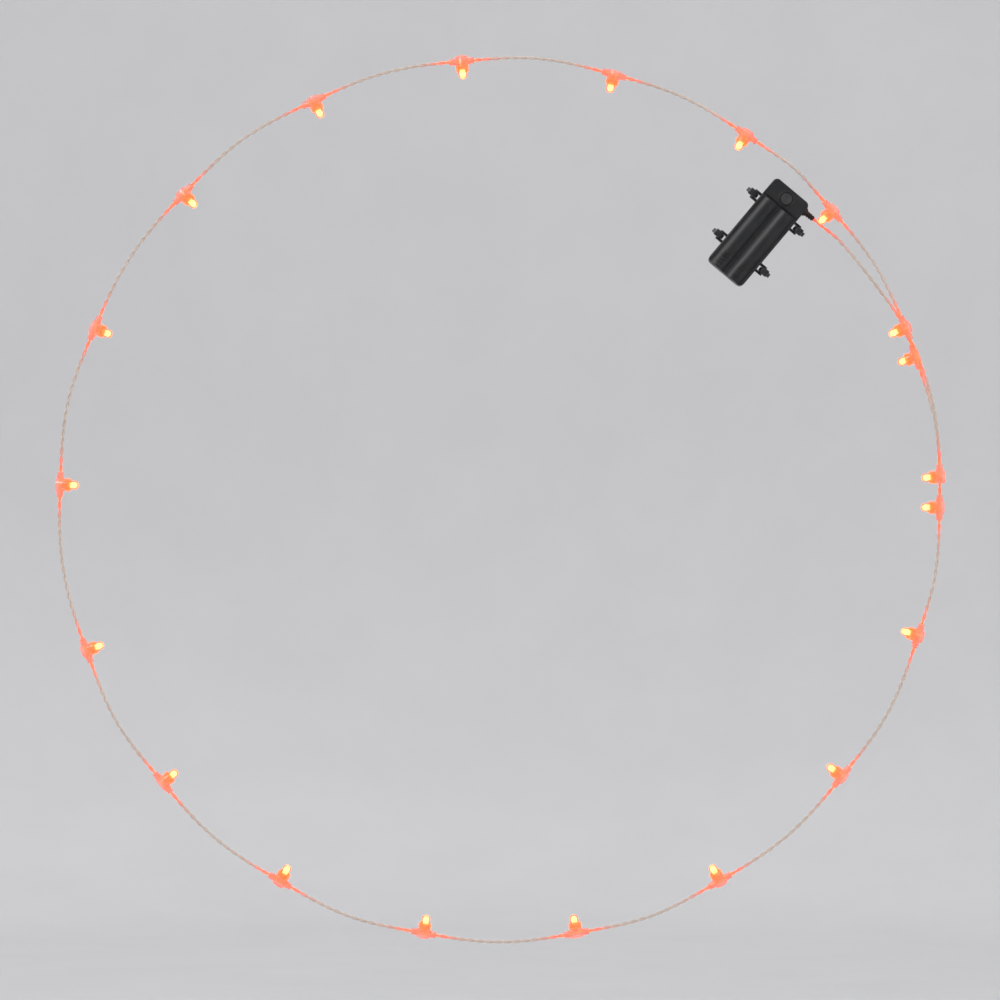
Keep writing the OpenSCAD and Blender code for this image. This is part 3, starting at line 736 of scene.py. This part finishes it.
def makeString():
    line = smoothLine(*stringRoute(), stringPlan["step"])
    lampSpots = [onRing(angle, ringPlan["radius"], lampSide(angle)) for angle, tilt in ringPlan["lamps"]]
    travelled = [0.0]
    for a, b in zip(line, line[1:]):
        travelled.append(travelled[-1] + (b - a).length)
    frames = []
    for i, spot in enumerate(line):
        way = (line[min(i + 1, len(line) - 1)] - line[max(i - 1, 0)]).normalized()
        across = Vector((0, 1, 0)).cross(way).normalized()
        frames.append((spot, across, way.cross(across)))
    vertices, faces, marks, lit = [], [], [], []
    orbit = (stringPlan["diameter"] - stringPlan["strand"]) / 2
    for tube, (bore, sides) in enumerate((("strand", "sides"), ("copper", "copperSides"))):
        thick, count = stringPlan[bore] / 2, stringPlan[sides]
        for strand in (0.0, math.pi):
            base = len(vertices)
            for (spot, across, up), distance in zip(frames, travelled):
                turn = strand + 2 * math.pi * distance / stringPlan["twist"]
                centre = spot + orbit * (math.cos(turn) * across + math.sin(turn) * up)
                # painted glow: the nearer the wire is to a lamp, the more of its light is painted on
                near = min((spot - lamp).length for lamp in lampSpots)
                glow = math.exp(-(near / stringPlan["leak"]) ** 2)
                for s in range(count):
                    a = 2 * math.pi * s / count
                    vertices.append((centre + thick * (math.cos(a) * across + math.sin(a) * up)) * mm)
                    lit.append(glow)
            rings = len(frames)
            for i in range(rings - 1):
                for s in range(count):
                    p, q = base + i * count + s, base + i * count + (s + 1) % count
                    faces.append((p, q, q + count, p + count))
                    marks.append(tube)
            faces.append(tuple(base + s for s in reversed(range(count))))
            faces.append(tuple(base + (rings - 1) * count + s for s in range(count)))
            marks += [tube, tube]
    mesh = bpy.data.meshes.new("stringPair")
    mesh.from_pydata(vertices, [], faces)
    piece = bpy.data.objects.new("stringPair", mesh)
    bpy.context.scene.collection.objects.link(piece)
    setAttribute(piece, "lit", lit)
    finishPiece(piece, "box", ["string_wire"], [wireJacket, wireCopper])
    mesh.polygons.foreach_set("material_index", marks)
    openMesh(piece)
    bpy.ops.mesh.normals_make_consistent(inside=False)
    closeMesh(piece, 50)
    print("string length", round(travelled[-1], 1), "mm")
    return piece, [tuple(spot * mm) for spot in line]


stringPair, stringPath = makeString()
print("stage: string laid")


# the lamps: a lens with its light inside, in a clear boot on the wire
# a profile's pairs are (how far in from the radius, how far from that end)
lensPlan = {
    "rise": 3.2, "length": 8.0, "radius": 2.5, "rim": 2.9, "rimHeight": 1.0, "rimEdge": 0.15, "flat": 2.62,
    "neck": ((-0.06, 0.02), (0.0, 0.25)), "shaft": 3.0, "sides": 32, "rings": 8,
    "fireRadius": 1.25, "fireTop": 6.6, "fireFoot": ((0.75, 1.2), (0.25, 1.5), (0.0, 2.6)),
    "fireSides": 20, "fireRings": 6, "warmFrom": 0.08, "warmSpan": 0.8,
}
bootPlan = {
    "radius": 3.75, "back": 2.75, "top": 6.2, "sides": 40, "bore": 1.15, "lastBore": -1.15, "boreSides": 24,
    "socket": 2.95, "mouth": 0.25, "mouthRise": 0.1, "chamber": 1.72, "chamberFoot": 0.2,
    "sleeve": 2.25, "sleeveHalf": 7.5, "sleeveSides": 32,
    # reach, glowRise, glowMost and glowLeast shape the painted glow from the lens
    "reach": 7.6, "glowRise": 2.2, "glowMost": 1.06, "glowLeast": 0.18,
    "foot": ((0.55, 0.0), (0.16, 0.12), (0.0, 0.5)), "lip": ((0.0, 0.35), (0.1, 0.1), (0.35, 0.0)),
    "band": ((0.0, 2.5), (0.25, 2.7), (0.25, 3.2), (0.0, 3.4)),
    "rings": ((0.5, 0.0), (0.38, 0.3), (0.3, 1.0), (0.52, 1.15), (0.48, 1.75), (0.14, 1.9), (0.08, 2.6),
              (0.3, 2.75), (0.26, 3.3), (0.0, 3.5)),
}
domeTilt = 88   # degrees: a dome stops just short of its pole, which a small flat closes


def domeSteps(radius, height, rings):
    turns = [math.radians(domeTilt * n / rings) for n in range(rings + 1)]
    return [(radius * math.cos(a), height + radius * math.sin(a)) for a in turns]


def makeLens():
    foot, edge, radius = lensPlan["rise"], lensPlan["rimEdge"], lensPlan["radius"]
    rim, rimTop = lensPlan["rim"], lensPlan["rise"] + lensPlan["rimHeight"]
    steps = [(rim - edge, foot), (rim, foot + edge), (rim, rimTop - edge), (rim - edge, rimTop)]
    steps += [(radius - inset, rimTop + rise) for inset, rise in lensPlan["neck"]]
    steps.append((radius, foot + lensPlan["shaft"]))
    steps += domeSteps(radius, foot + lensPlan["length"] - radius, lensPlan["rings"])
    lens = turnedPiece("lensModel", steps, lensPlan["sides"])
    openMesh(lens)
    bpy.ops.mesh.bisect(plane_co=(-lensPlan["flat"] * mm, 0, 0), plane_no=(-1, 0, 0),
                        use_fill=True, clear_outer=True)
    closeMesh(lens)
    small = lensPlan["fireRadius"]
    steps = [(small - inset, foot + rise) for inset, rise in lensPlan["fireFoot"]]
    steps += domeSteps(small, foot + lensPlan["fireTop"] - small, lensPlan["fireRings"])
    fire = turnedPiece("fireModel", steps, lensPlan["fireSides"])
    lens.data.materials.append(lensShell)
    fire.data.materials.append(lampFire)
    joinPieces([lens, fire], "lensModel")
    heights = [(v.co.z / mm - foot) / lensPlan["length"] for v in lens.data.vertices]
    setAttribute(lens, "warmth", [max(0.0, min(1.0, (height - lensPlan["warmFrom"]) / lensPlan["warmSpan"]))
                                  for height in heights])
    return lens


def makeBoot(last):
    half, thick, bore = bootPlan["sleeveHalf"], bootPlan["sleeve"], bootPlan["bore"]
    r, top, socket = bootPlan["radius"], bootPlan["top"], bootPlan["socket"]
    steps = [(r - inset, rise - bootPlan["back"]) for inset, rise in bootPlan["foot"]]
    steps += [(r - inset, height) for inset, height in bootPlan["band"]]
    steps += [(r - inset, top - drop) for inset, drop in bootPlan["lip"]]
    barrel = turnedPiece("bootModel", steps, bootPlan["sides"])
    ring = [(thick - inset, run - half) for inset, run in bootPlan["rings"]]
    mirrored = [(radius, -height) for radius, height in reversed(ring)]
    start = [(thick, 0.0)] if last else ring
    sleeve = turnedPiece("sleeveModel", start + mirrored, bootPlan["sleeveSides"])
    settle(sleeve, turnAbout("Y", 90))
    combine(barrel, sleeve, "UNION")
    low, high = bootPlan["lastBore"] if last else -half - cutPast, half + cutPast
    hole = turnedPiece("boreModel", [(bore, low), (bore, high)], bootPlan["boreSides"])
    settle(hole, turnAbout("Y", 90))
    combine(barrel, hole, "DIFFERENCE")
    chamber, seatZ, mouth = bootPlan["chamber"], lensPlan["rise"], bootPlan["mouth"]
    steps = [(chamber, bootPlan["chamberFoot"]), (chamber, seatZ), (socket, seatZ + mergeGap / mm),
             (socket, top - mouth), (socket + mouth, top + bootPlan["mouthRise"]),
             (socket + mouth, top + cutPast)]
    combine(barrel, turnedPiece("seatModel", steps, bootPlan["sleeveSides"]), "DIFFERENCE")
    # painted glow: the farther a corner of the boot is from the lens, the less lens light is painted on it,
    # never less than glowLeast
    centre, reach = Vector((0, 0, (seatZ + bootPlan["glowRise"]) * mm)), bootPlan["reach"] * mm
    most, least = bootPlan["glowMost"], bootPlan["glowLeast"]
    setAttribute(barrel, "lit", [max(least, most - (v.co - centre).length / reach)
                                 for v in barrel.data.vertices])
    closeMesh(barrel, 40)
    barrel.data.materials.append(bootPlastic)
    return barrel


def placeCopy(model, name, index):
    piece = bpy.data.objects.new(name, model.data.copy())
    bpy.context.scene.collection.objects.link(piece)
    settle(piece, lampPlace(index))
    return piece


def makeLamps():
    lampModel = joinPieces([makeBoot(False), makeLens()], "lampModel")
    endModel = joinPieces([makeBoot(True), makeLens()], "endModel")
    lamps = []
    for index in range(len(ringPlan["lamps"])):
        number = "%02d" % (index + 1)
        last = index == len(ringPlan["lamps"]) - 1
        lamps.append(placeCopy(endModel if last else lampModel, "lamp" + number, index))
        finishPiece(lamps[-1], "box", ["lens_" + number, "boot_" + number])
    for model in (lampModel, endModel):
        bpy.data.objects.remove(model)
    return lamps


# the lamps along the string; the legs inside the boots are only listed beside them and left as they are
makeLamps() + [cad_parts["lens_legs"]]
print("stage: lamps placed")


# the battery box: its shells with their edges rounded as moulded, and the small forms on them
shellPlan = {
    "halfLong": 32.25, "halfWide": 13.2, "corner": 3.0, "top": 14.75, "seam": 8.2,
    "topEdge": 0.7, "floorEdge": 0.8, "seamEdge": 0.12,
}
backPlan = {"low": -27.5, "high": 14.5, "half": 9.0, "corner": 1.6, "depth": 0.3}
coverPlan = {
    "inner": -32.25, "end": 19.15, "low": 12.6, "plateTop": 13.6, "tongue": 12.2, "panel": 11.25,
    "valley": 1.2, "hump": 2.2, "arc": 23, "edge": 0.2,
    "groove": 0.75, "grooveDepth": 0.5, "grooveEnds": (-21.25, 17.15),
    "gripX": -29.25, "gripPitch": 2.25, "grips": 4, "gripRadius": 0.6, "gripSides": 24,
}
screwEdge, plateEdge = 0.08, 0.1
tiePlan = {
    "head": 4.2, "headTop": 4.35, "headEdge": 0.5, "tailTop": 6.35, "strap": (2.5, 0.9),
    "slot": (3.1, 0.35, 0.6), "slotRise": 0.1, "teeth": 3, "notch": 0.3,
}
arrowPlan = {"x": -26.0, "radius": 1.05, "rise": 0.3, "sink": 0.3, "edge": (0.15, 0.12)}
bezelPlan = {
    "inner": 3.95, "outer": 4.85, "rise": 0.35, "sink": 0.5, "sides": 48,
    "outerEdge": ((0.08, 0.14), (0.3, 0.0)), "innerEdge": ((0.25, 0.0), (0.06, 0.1), (0.0, 0.3)),
}


# soft edges on the heads of the ties
def softenHeads(ties):
    toBox, half, top = boxPlace.inverted(), tiePlan["head"] / 2 * mm, tiePlan["headTop"] * mm
    near = sameSpot * mm

    def onHead(spot):
        x, y, z = toBox @ spot
        x = abs(abs(x) - boxPlan["eyeX"] * mm)
        y = abs(abs(y) - boxPlan["headY"] * mm)
        return abs(x - half) < near, abs(y - half) < near, abs(z - boxPlan["eyeZ"] * mm - top) < near

    def headEdge(a, b):
        a, b = onHead(a), onHead(b)
        return all(a[:2] + b[:2]) or (a[2] and b[2] and ((a[0] and b[0]) or (a[1] and b[1])))

    bevelEdges(ties, headEdge, tiePlan["headEdge"], 3)


# slots in the head on both faces of the strap, and teeth on the stub of its tail
def cutTies(ties):
    wide, deep, sink = tiePlan["slot"]
    strapW, strapT = tiePlan["strap"]
    headTop, notch, rise = tiePlan["headTop"], tiePlan["notch"], tiePlan["slotRise"]
    pitch = (tiePlan["tailTop"] - headTop) / (tiePlan["teeth"] + 0.5)
    cutters = []
    for x in (-boxPlan["eyeX"], boxPlan["eyeX"]):
        for side in (-1, 1):
            blocks = [((-wide / 2, a, headTop - sink), (wide / 2, a + deep, headTop + rise))
                      for a in (-strapT / 2 - deep, strapT / 2)]
            for n in range(tiePlan["teeth"]):
                z = headTop + pitch * (n + 0.5)
                blocks.append(((-strapW, side * (strapT / 2 - notch / 2) - notch / 2, z),
                               (strapW, side * (strapT / 2 - notch / 2) + notch, z + pitch / 2)))
            for low, high in blocks:
                low, high = [min(p) for p in zip(low, high)], [max(p) for p in zip(low, high)]
                cutter = blockPiece("tieCutter", low, high)
                settle(cutter, inBox(x, side * boxPlan["headY"], boxPlan["eyeZ"]))
                cutters.append(cutter)
    return combine(ties, joinPieces(cutters, "tieCutter"), "DIFFERENCE")


# a rounded rim on the hood round the button
def addBezel(hood):
    inner, outer, rise = bezelPlan["inner"], bezelPlan["outer"], bezelPlan["rise"]
    foot = -bezelPlan["sink"]
    steps = [(outer, foot), (outer, 0.0)]
    steps += [(outer - inset, rise - drop) for inset, drop in bezelPlan["outerEdge"]]
    steps += [(inner + inset, rise - drop) for inset, drop in bezelPlan["innerEdge"]]
    rim = turnedPiece("bezel", steps, bezelPlan["sides"])
    bore = turnedPiece("bezelBore", [(inner, foot - cutPast), (inner, rise + cutPast)], bezelPlan["sides"])
    combine(rim, bore, "DIFFERENCE")
    settle(rim, inBox(boxPlan["switchX"], 0, boxPlan["height"]))
    return combine(hood, rim, "UNION")


# a plain triangle between the grips that points the way the cover slides off
def addArrow(cover):
    r, rise, (inset, drop) = arrowPlan["radius"], arrowPlan["rise"], arrowPlan["edge"]
    arrow = turnedPiece("arrow", [(r, -arrowPlan["sink"]), (r, rise - drop), (r - inset, rise)], 3)
    settle(arrow, inBox(arrowPlan["x"], 0, boxPlan["height"]) @ turnAbout("Z", 90))
    return combine(cover, arrow, "UNION")


# whether a spot in the box's own frame is on its outer wall, round corners included
def onWall(spot):
    corner = shellPlan["corner"]
    x = abs(spot.x / mm) - shellPlan["halfLong"] + corner
    y = abs(spot.y / mm) - shellPlan["halfWide"] + corner
    return abs(math.hypot(max(x, 0), max(y, 0)) - corner) < 1.5 * sameSpot


# rounds the edges of the outer wall that lie at one height of the box
def roundRim(piece, level, width, segments=3):
    toBox = boxPlace.inverted()

    def onRim(*ends):
        ends = [toBox @ spot for spot in ends]
        return all(onWall(spot) and abs(spot.z / mm - level) < sameSpot for spot in ends)

    bevelEdges(piece, onRim, width, segments)


# a slab with round upright corners, in the box's own frame
def cornerSlab(name, low, high, corner):
    slab = blockPiece(name, low, high)
    bevelEdges(slab, lambda a, b: abs(a.z - b.z) > sameSpot * mm, corner, 8)
    return slab


def makeTray():
    tray = solidCopy("box_base", "boxTray")
    roundRim(tray, 0.0, shellPlan["floorEdge"])
    roundRim(tray, shellPlan["top"], shellPlan["topEdge"])
    roundRim(tray, shellPlan["seam"], shellPlan["seamEdge"], 1)
    # a shallow moulded panel on the back
    panel = cornerSlab("panel", (backPlan["low"], -backPlan["half"], -cutPast),
                       (backPlan["high"], backPlan["half"], backPlan["depth"]), backPlan["corner"])
    settle(panel, boxPlace)
    combine(tray, panel, "DIFFERENCE")
    evenShading(tray)
    finishPiece(tray, "box", ["box_base"], [boxPlastic])


def makeHood():
    hood = solidCopy("switch_hood", "boxHood")
    roundRim(hood, shellPlan["top"], shellPlan["topEdge"])
    roundRim(hood, shellPlan["seam"], shellPlan["seamEdge"], 1)
    addBezel(hood)
    evenShading(hood)
    finishPiece(hood, "box", ["switch_hood"], [boxPlastic])


# the cover's section: a plate with two tongues and a round hump over each cell
def coverOutline():
    panel, valley, rise, top = coverPlan["panel"], coverPlan["valley"], coverPlan["hump"], shellPlan["top"]
    half = (panel - valley) / 2
    radius = (half * half + rise * rise) / (2 * rise)
    lean = math.asin(half / radius)
    right = [(coverPlan["tongue"], coverPlan["low"]), (coverPlan["tongue"], coverPlan["plateTop"]),
             (panel, coverPlan["plateTop"])]
    for n in range(coverPlan["arc"] + 1):
        a = lean - 2 * lean * n / coverPlan["arc"]
        right.append((valley + half + radius * math.sin(a), top + rise - radius + radius * math.cos(a)))
    return right + [(-y, z) for y, z in reversed(right)]


def makeCover():
    cover = drawnPiece("boxCover", coverOutline(), coverPlan["inner"], coverPlan["end"])
    settle(cover, turnAbout("Z", 90) @ turnAbout("X", 90))
    # the same round corners as the tray at its inner end
    far, wide, corner = shellPlan["halfLong"], shellPlan["halfWide"], shellPlan["corner"]
    slab = cornerSlab("slab", (-far, -wide, 0), (far, wide, 2 * shellPlan["top"]), corner)
    combine(cover, slab, "INTERSECT")
    roundEdges(cover, coverPlan["edge"], 2, 35)
    low, high = coverPlan["grooveEnds"]
    groove = blockPiece("groove", (low, -coverPlan["groove"], shellPlan["top"] - coverPlan["grooveDepth"]),
                        (high, coverPlan["groove"], shellPlan["top"] + coverPlan["grooveDepth"]))
    combine(cover, groove, "DIFFERENCE")
    rods, thick, crest = [], coverPlan["gripRadius"], shellPlan["top"] + coverPlan["hump"]
    for n in range(coverPlan["grips"]):
        x = coverPlan["gripX"] + n * coverPlan["gripPitch"]
        rods.append(turnedPiece("grip", [(thick, -wide), (thick, wide)], coverPlan["gripSides"]))
        settle(rods[-1], shiftBy(x, 0, crest) @ turnAbout("X", 90))
    combine(cover, joinPieces(rods, "grips"), "DIFFERENCE")
    settle(cover, boxPlace)
    addArrow(cover)
    evenShading(cover)
    finishPiece(cover, "cover", ["battery_cover"], [boxPlastic])


def makeFasteners():
    screws = roundEdges(solidCopy("hood_screws", "boxScrews"), screwEdge)
    finishPiece(screws, "box", ["hood_screws"], [nickelPlate])
    ties = solidCopy("spoke_ties", "boxTies")
    softenHeads(ties)
    cutTies(ties)
    evenShading(ties)
    finishPiece(ties, "box", ["spoke_ties"], [tieNylon])


makeTray()
makeHood()
makeCover()
makeFasteners()
print("stage: box shells, screws and ties")


# the button over its switch: a flange under the hood, a soft edge and a dished top
buttonPlan = {
    "radius": 3.5, "flange": 4.3, "flangeZ": 12.3, "flangeTop": 13.3, "flangeEdge": 0.12, "top": 15.75,
    "edge": ((0.0, 0.45), (0.06, 0.22), (0.2, 0.06), (0.42, 0.0), (0.6, 0.0), (0.7, 0.08)),
    "dish": 0.3, "dishRadius": 12.0, "dishRings": (2.55, 2.1, 1.6, 1.1, 0.6, 0.25), "sides": 48,
}
plungerPlan = {
    "radius": 1.6, "foot": 9.2, "footEdge": 0.1, "top": 12.25, "sides": 40,
    "edge": ((0.0, 0.3), (0.1, 0.1), (0.3, 0.0)),
}


def makeButton():
    r, top, flange, edge = (buttonPlan[key] for key in ("radius", "top", "flange", "flangeEdge"))
    low, high = buttonPlan["flangeZ"], buttonPlan["flangeTop"]
    steps = [(flange - edge, low), (flange, low + edge), (flange, high - edge), (flange - edge, high),
             (r, high)]
    steps += [(r - inset, top - drop) for inset, drop in buttonPlan["edge"]]
    for across in buttonPlan["dishRings"]:
        rise = buttonPlan["dishRadius"] - math.sqrt(buttonPlan["dishRadius"] ** 2 - across ** 2)
        steps.append((across, top - buttonPlan["dish"] + rise))
    button = turnedPiece("modeButton", steps, buttonPlan["sides"])
    settle(button, inBox(boxPlan["switchX"], 0, 0))
    finishPiece(button, "button", ["mode_button"], [softRubber])


def makePlunger():
    r, foot, edge = plungerPlan["radius"], plungerPlan["foot"], plungerPlan["footEdge"]
    steps = [(r - edge, foot), (r, foot + edge)]
    steps += [(r - inset, plungerPlan["top"] - drop) for inset, drop in plungerPlan["edge"]]
    plunger = turnedPiece("switchStem", steps, plungerPlan["sides"])
    settle(plunger, inBox(boxPlan["switchX"], 0, 0))
    finishPiece(plunger, "plunger", ["switch_plunger"], [switchPlastic])


makeButton()
makePlunger()
print("stage: button and plunger")


# the gland: a flange on each side of the wall and a ribbed nose that tapers to the wire
glandPlan = {
    "flange": 2.7, "neck": 2.0, "tip": 1.6, "wall": (11.35, 13.25), "noseFoot": 14.2, "tipEdge": (0.12, 0.2),
    "insideRim": ((0.15, 10.35), (0.0, 10.5), (0.0, 11.25), (0.1, 11.35)),
    "outsideRim": ((0.1, 13.25), (0.0, 13.35), (0.0, 13.95), (0.22, 14.17)),
    "ribs": 4, "groove": 0.38, "ribShape": ((0.1, 0), (0.55, 0), (0.62, 1), (0.88, 1)), "sides": 36,
}


def makeGland():
    flange, neck, tip = glandPlan["flange"], glandPlan["neck"], glandPlan["tip"]
    foot, end, (inset, drop) = glandPlan["noseFoot"], -boxPlan["noseY"], glandPlan["tipEdge"]
    steps = [(flange - cut, y) for cut, y in glandPlan["insideRim"]]
    steps += [(neck, y) for y in glandPlan["wall"]]
    steps += [(flange - cut, y) for cut, y in glandPlan["outsideRim"]] + [(neck, foot)]
    for n in range(glandPlan["ribs"]):
        for share, cut in glandPlan["ribShape"]:
            along = (n + share) / glandPlan["ribs"]
            radius = neck + (tip - neck) * along - cut * glandPlan["groove"]
            steps.append((radius, foot + (end - foot) * along))
    steps += [(tip, end - drop), (tip - inset, end)]
    gland = turnedPiece("wireGland", steps, glandPlan["sides"])
    settle(gland, inBox(boxPlan["glandX"], 0, boxPlan["glandZ"]) @ turnAbout("X", 90))
    finishPiece(gland, "box", ["wire_gland"], [softRubber])


makeGland()
print("stage: gland turned")


# cells head to tail, each pressed on its plate by a spring that narrows towards it
cellPlan = {
    "body": 43.6, "length": 44.5, "sides": 64,
    "foot": ((3.3, 0.0), (3.5, 0.2), (4.1, 0.24), (4.3, 0.05), (4.6, 0.0), (5.0, 0.14), (5.25, 0.6)),
    "shoulder": ((5.25, 0.6), (5.15, 0.25), (4.8, 0.0), (4.3, 0.0), (4.15, 0.3), (2.5, 0.3), (2.3, 0.05),
                 (1.9, 0.0)),
    "cap": ((1.9, 0.2), (1.75, 0.0)),
}
springPlan = {
    "length": 4.6, "wire": 0.6, "wide": 3.2, "narrow": 2.1, "turns": 3.5, "steps": 24, "gap": 0.05,
}


def bayEnds():
    plate, side = boxPlan["plate"], boxPlan["cellY"]
    return ((boxPlan["bayX"] + plate, -side, 1), (boxPlan["dividerX"] - plate, side, -1))


def makeCells():
    steps = list(cellPlan["foot"])
    steps += [(r, cellPlan["body"] - drop) for r, drop in cellPlan["shoulder"]]
    steps += [(r, cellPlan["length"] - drop) for r, drop in cellPlan["cap"]]
    for number, ((x, y, way), film) in enumerate(zip(bayEnds(), cellFilms), 1):
        cell = turnedPiece("cellBody%d" % number, steps, cellPlan["sides"])
        settle(cell, inBox(x + way * springPlan["length"], y, boxPlan["cellZ"])
               @ turnAbout("Z", 90 - 90 * way) @ turnAbout("Y", 90))
        finishPiece(cell, "box", ["cell_%d" % number], [film])


def makeSprings():
    wire, gap = springPlan["wire"], springPlan["gap"]
    count, run = round(springPlan["turns"] * springPlan["steps"]), springPlan["length"] - wire - 2 * gap
    line = []
    for i in range(count + 1):
        t, turn = i / count, 2 * math.pi * i / springPlan["steps"]
        r = springPlan["wide"] + (springPlan["narrow"] - springPlan["wide"]) * t
        line.append(Vector((wire / 2 + gap + run * t, r * math.cos(turn), r * math.sin(turn))))
    springs = []
    for x, y, way in bayEnds():
        springs.append(wirePiece("spring", line, wire / 2, 4))
        settle(springs[-1], inBox(x, y, boxPlan["cellZ"]) @ turnAbout("Z", 90 - 90 * way))
    springs = joinPieces(springs, "cellSprings")
    finishPiece(springs, "box", ["cell_springs"], [nickelPlate])


def makePlates():
    for node, name in (("link_plate", "linkPlate"), ("terminal_plates", "endPlates")):
        plates = roundEdges(solidCopy(node, name), plateEdge)
        finishPiece(plates, "box", [node], [nickelPlate])


makeCells()
makeSprings()
makePlates()
print("stage: cells and contacts")


# what sits on the board: the switch with its steel lid, the driver chip and a resistor
switchPlan = {"lid": 0.7, "edge": 0.12}
chipPlan = {
    "half": 1.35, "reach": 2.0, "long": 5.0, "foot": 4.5, "top": 5.75, "edge": 0.12,
    "legs": 4, "pitch": 1.27, "legW": 0.45, "legT": 0.18, "legEdge": 0.04, "root": 0.1, "toe": 0.25,
}
resistorPlan = {
    "low": (26.45, 4.1), "high": (29.45, 5.7), "tall": 0.7, "edge": 0.05, "inset": (0.1, 0.06),
    "cap": 0.5, "capEdge": 0.08,
}
leadPlan = {"radius": 0.5, "apart": 1.4, "start": -10.35, "turn": -5.5, "bend": 1.0, "steps": 8}


def makeSwitch():
    body = roundEdges(solidCopy("switch_body", "switchCase"), switchPlan["edge"])
    finishPiece(body, "box", ["switch_body"], [switchPlastic, nickelPlate])
    toBox = boxPlace.inverted()
    level = (boxPlan["switchTop"] - switchPlan["lid"]) * mm
    for polygon in body.data.polygons:
        polygon.material_index = 1 if (toBox @ polygon.center).z > level else 0


def makeChip():
    half, reach, legT, legW = (chipPlan[key] for key in ("half", "reach", "legT", "legW"))
    board, foot, top = boxPlan["boardZ"], chipPlan["foot"], chipPlan["top"]
    body = blockPiece("chipBody", (-half, 0, foot), (half, chipPlan["long"], top), chipPlan["edge"])
    body.data.materials.append(partEpoxy)
    pieces = [body]
    first = (chipPlan["long"] - chipPlan["pitch"] * (chipPlan["legs"] - 1) - legW) / 2
    root, knee, middle = half - chipPlan["root"], reach - chipPlan["toe"], (foot + top) / 2
    bends = (((root, middle), (knee, middle + legT)), ((knee - legT, middle), (knee, board)),
             ((knee - legT, board - legT), (reach, board)))
    for n in range(chipPlan["legs"]):
        y = first + n * chipPlan["pitch"]
        for side in (-1, 1):
            for (x0, z0), (x1, z1) in bends:
                xs = sorted((side * x0, side * x1))
                leg = blockPiece("chipLeg", (xs[0], y, z0), (xs[1], y + legW, z1), chipPlan["legEdge"])
                leg.data.materials.append(nickelPlate)
                pieces.append(leg)
    chip = joinPieces(pieces, "driverChip")
    settle(chip, inBox(boxPlan["switchX"], 0, 0))
    finishPiece(chip, "box", ["driver_chip"])


def makeResistor():
    (x0, y0), (x1, y1) = resistorPlan["low"], resistorPlan["high"]
    z, tall, cap = boxPlan["boardTop"], resistorPlan["tall"], resistorPlan["cap"]
    dx, dy = resistorPlan["inset"]
    pieces = [blockPiece("resistor", (x0 + dx, y0 + dy, z), (x1 - dx, y1 - dy, z + tall - dy),
                         resistorPlan["edge"])]
    pieces[0].data.materials.append(partEpoxy)
    for low, high in ((x0, x0 + cap), (x1 - cap, x1)):
        pieces.append(blockPiece("resistorEnd", (low, y0, z), (high, y1, z + tall), resistorPlan["capEdge"]))
        pieces[-1].data.materials.append(nickelPlate)
    resistor = joinPieces(pieces, "seriesResistor")
    settle(resistor, boxPlace)
    finishPiece(resistor, "box", ["series_resistor"])


def makeLeads():
    bend, start, turn, board = leadPlan["bend"], leadPlan["start"], leadPlan["turn"], boxPlan["boardZ"]
    low = boxPlan["glandZ"]
    line = [Vector((0, start, low))]
    for n in range(leadPlan["steps"] + 1):
        a = math.radians(90 * n / leadPlan["steps"])
        line.append(Vector((0, turn - bend + bend * math.sin(a), low + bend - bend * math.cos(a))))
    line.append(Vector((0, turn, board)))
    leads = []
    for side in (-0.5, 0.5):
        leads.append(wirePiece("lead", line, leadPlan["radius"]))
        settle(leads[-1], inBox(boxPlan["glandX"] + side * leadPlan["apart"], 0, 0))
    finishPiece(joinPieces(leads, "innerLeads"), "box", ["inner_leads"], [leadJacket])


makeSwitch()
makeChip()
makeResistor()
makeLeads()
print("stage: switch and board parts")


# what stays as it is in the solids only gets its finish
for node, material in (("circuit_board", boardMask), ("lens_legs", nickelPlate)):
    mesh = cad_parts[node].data
    mesh.materials.clear()
    mesh.materials.append(material)
print("stage: finishes set")
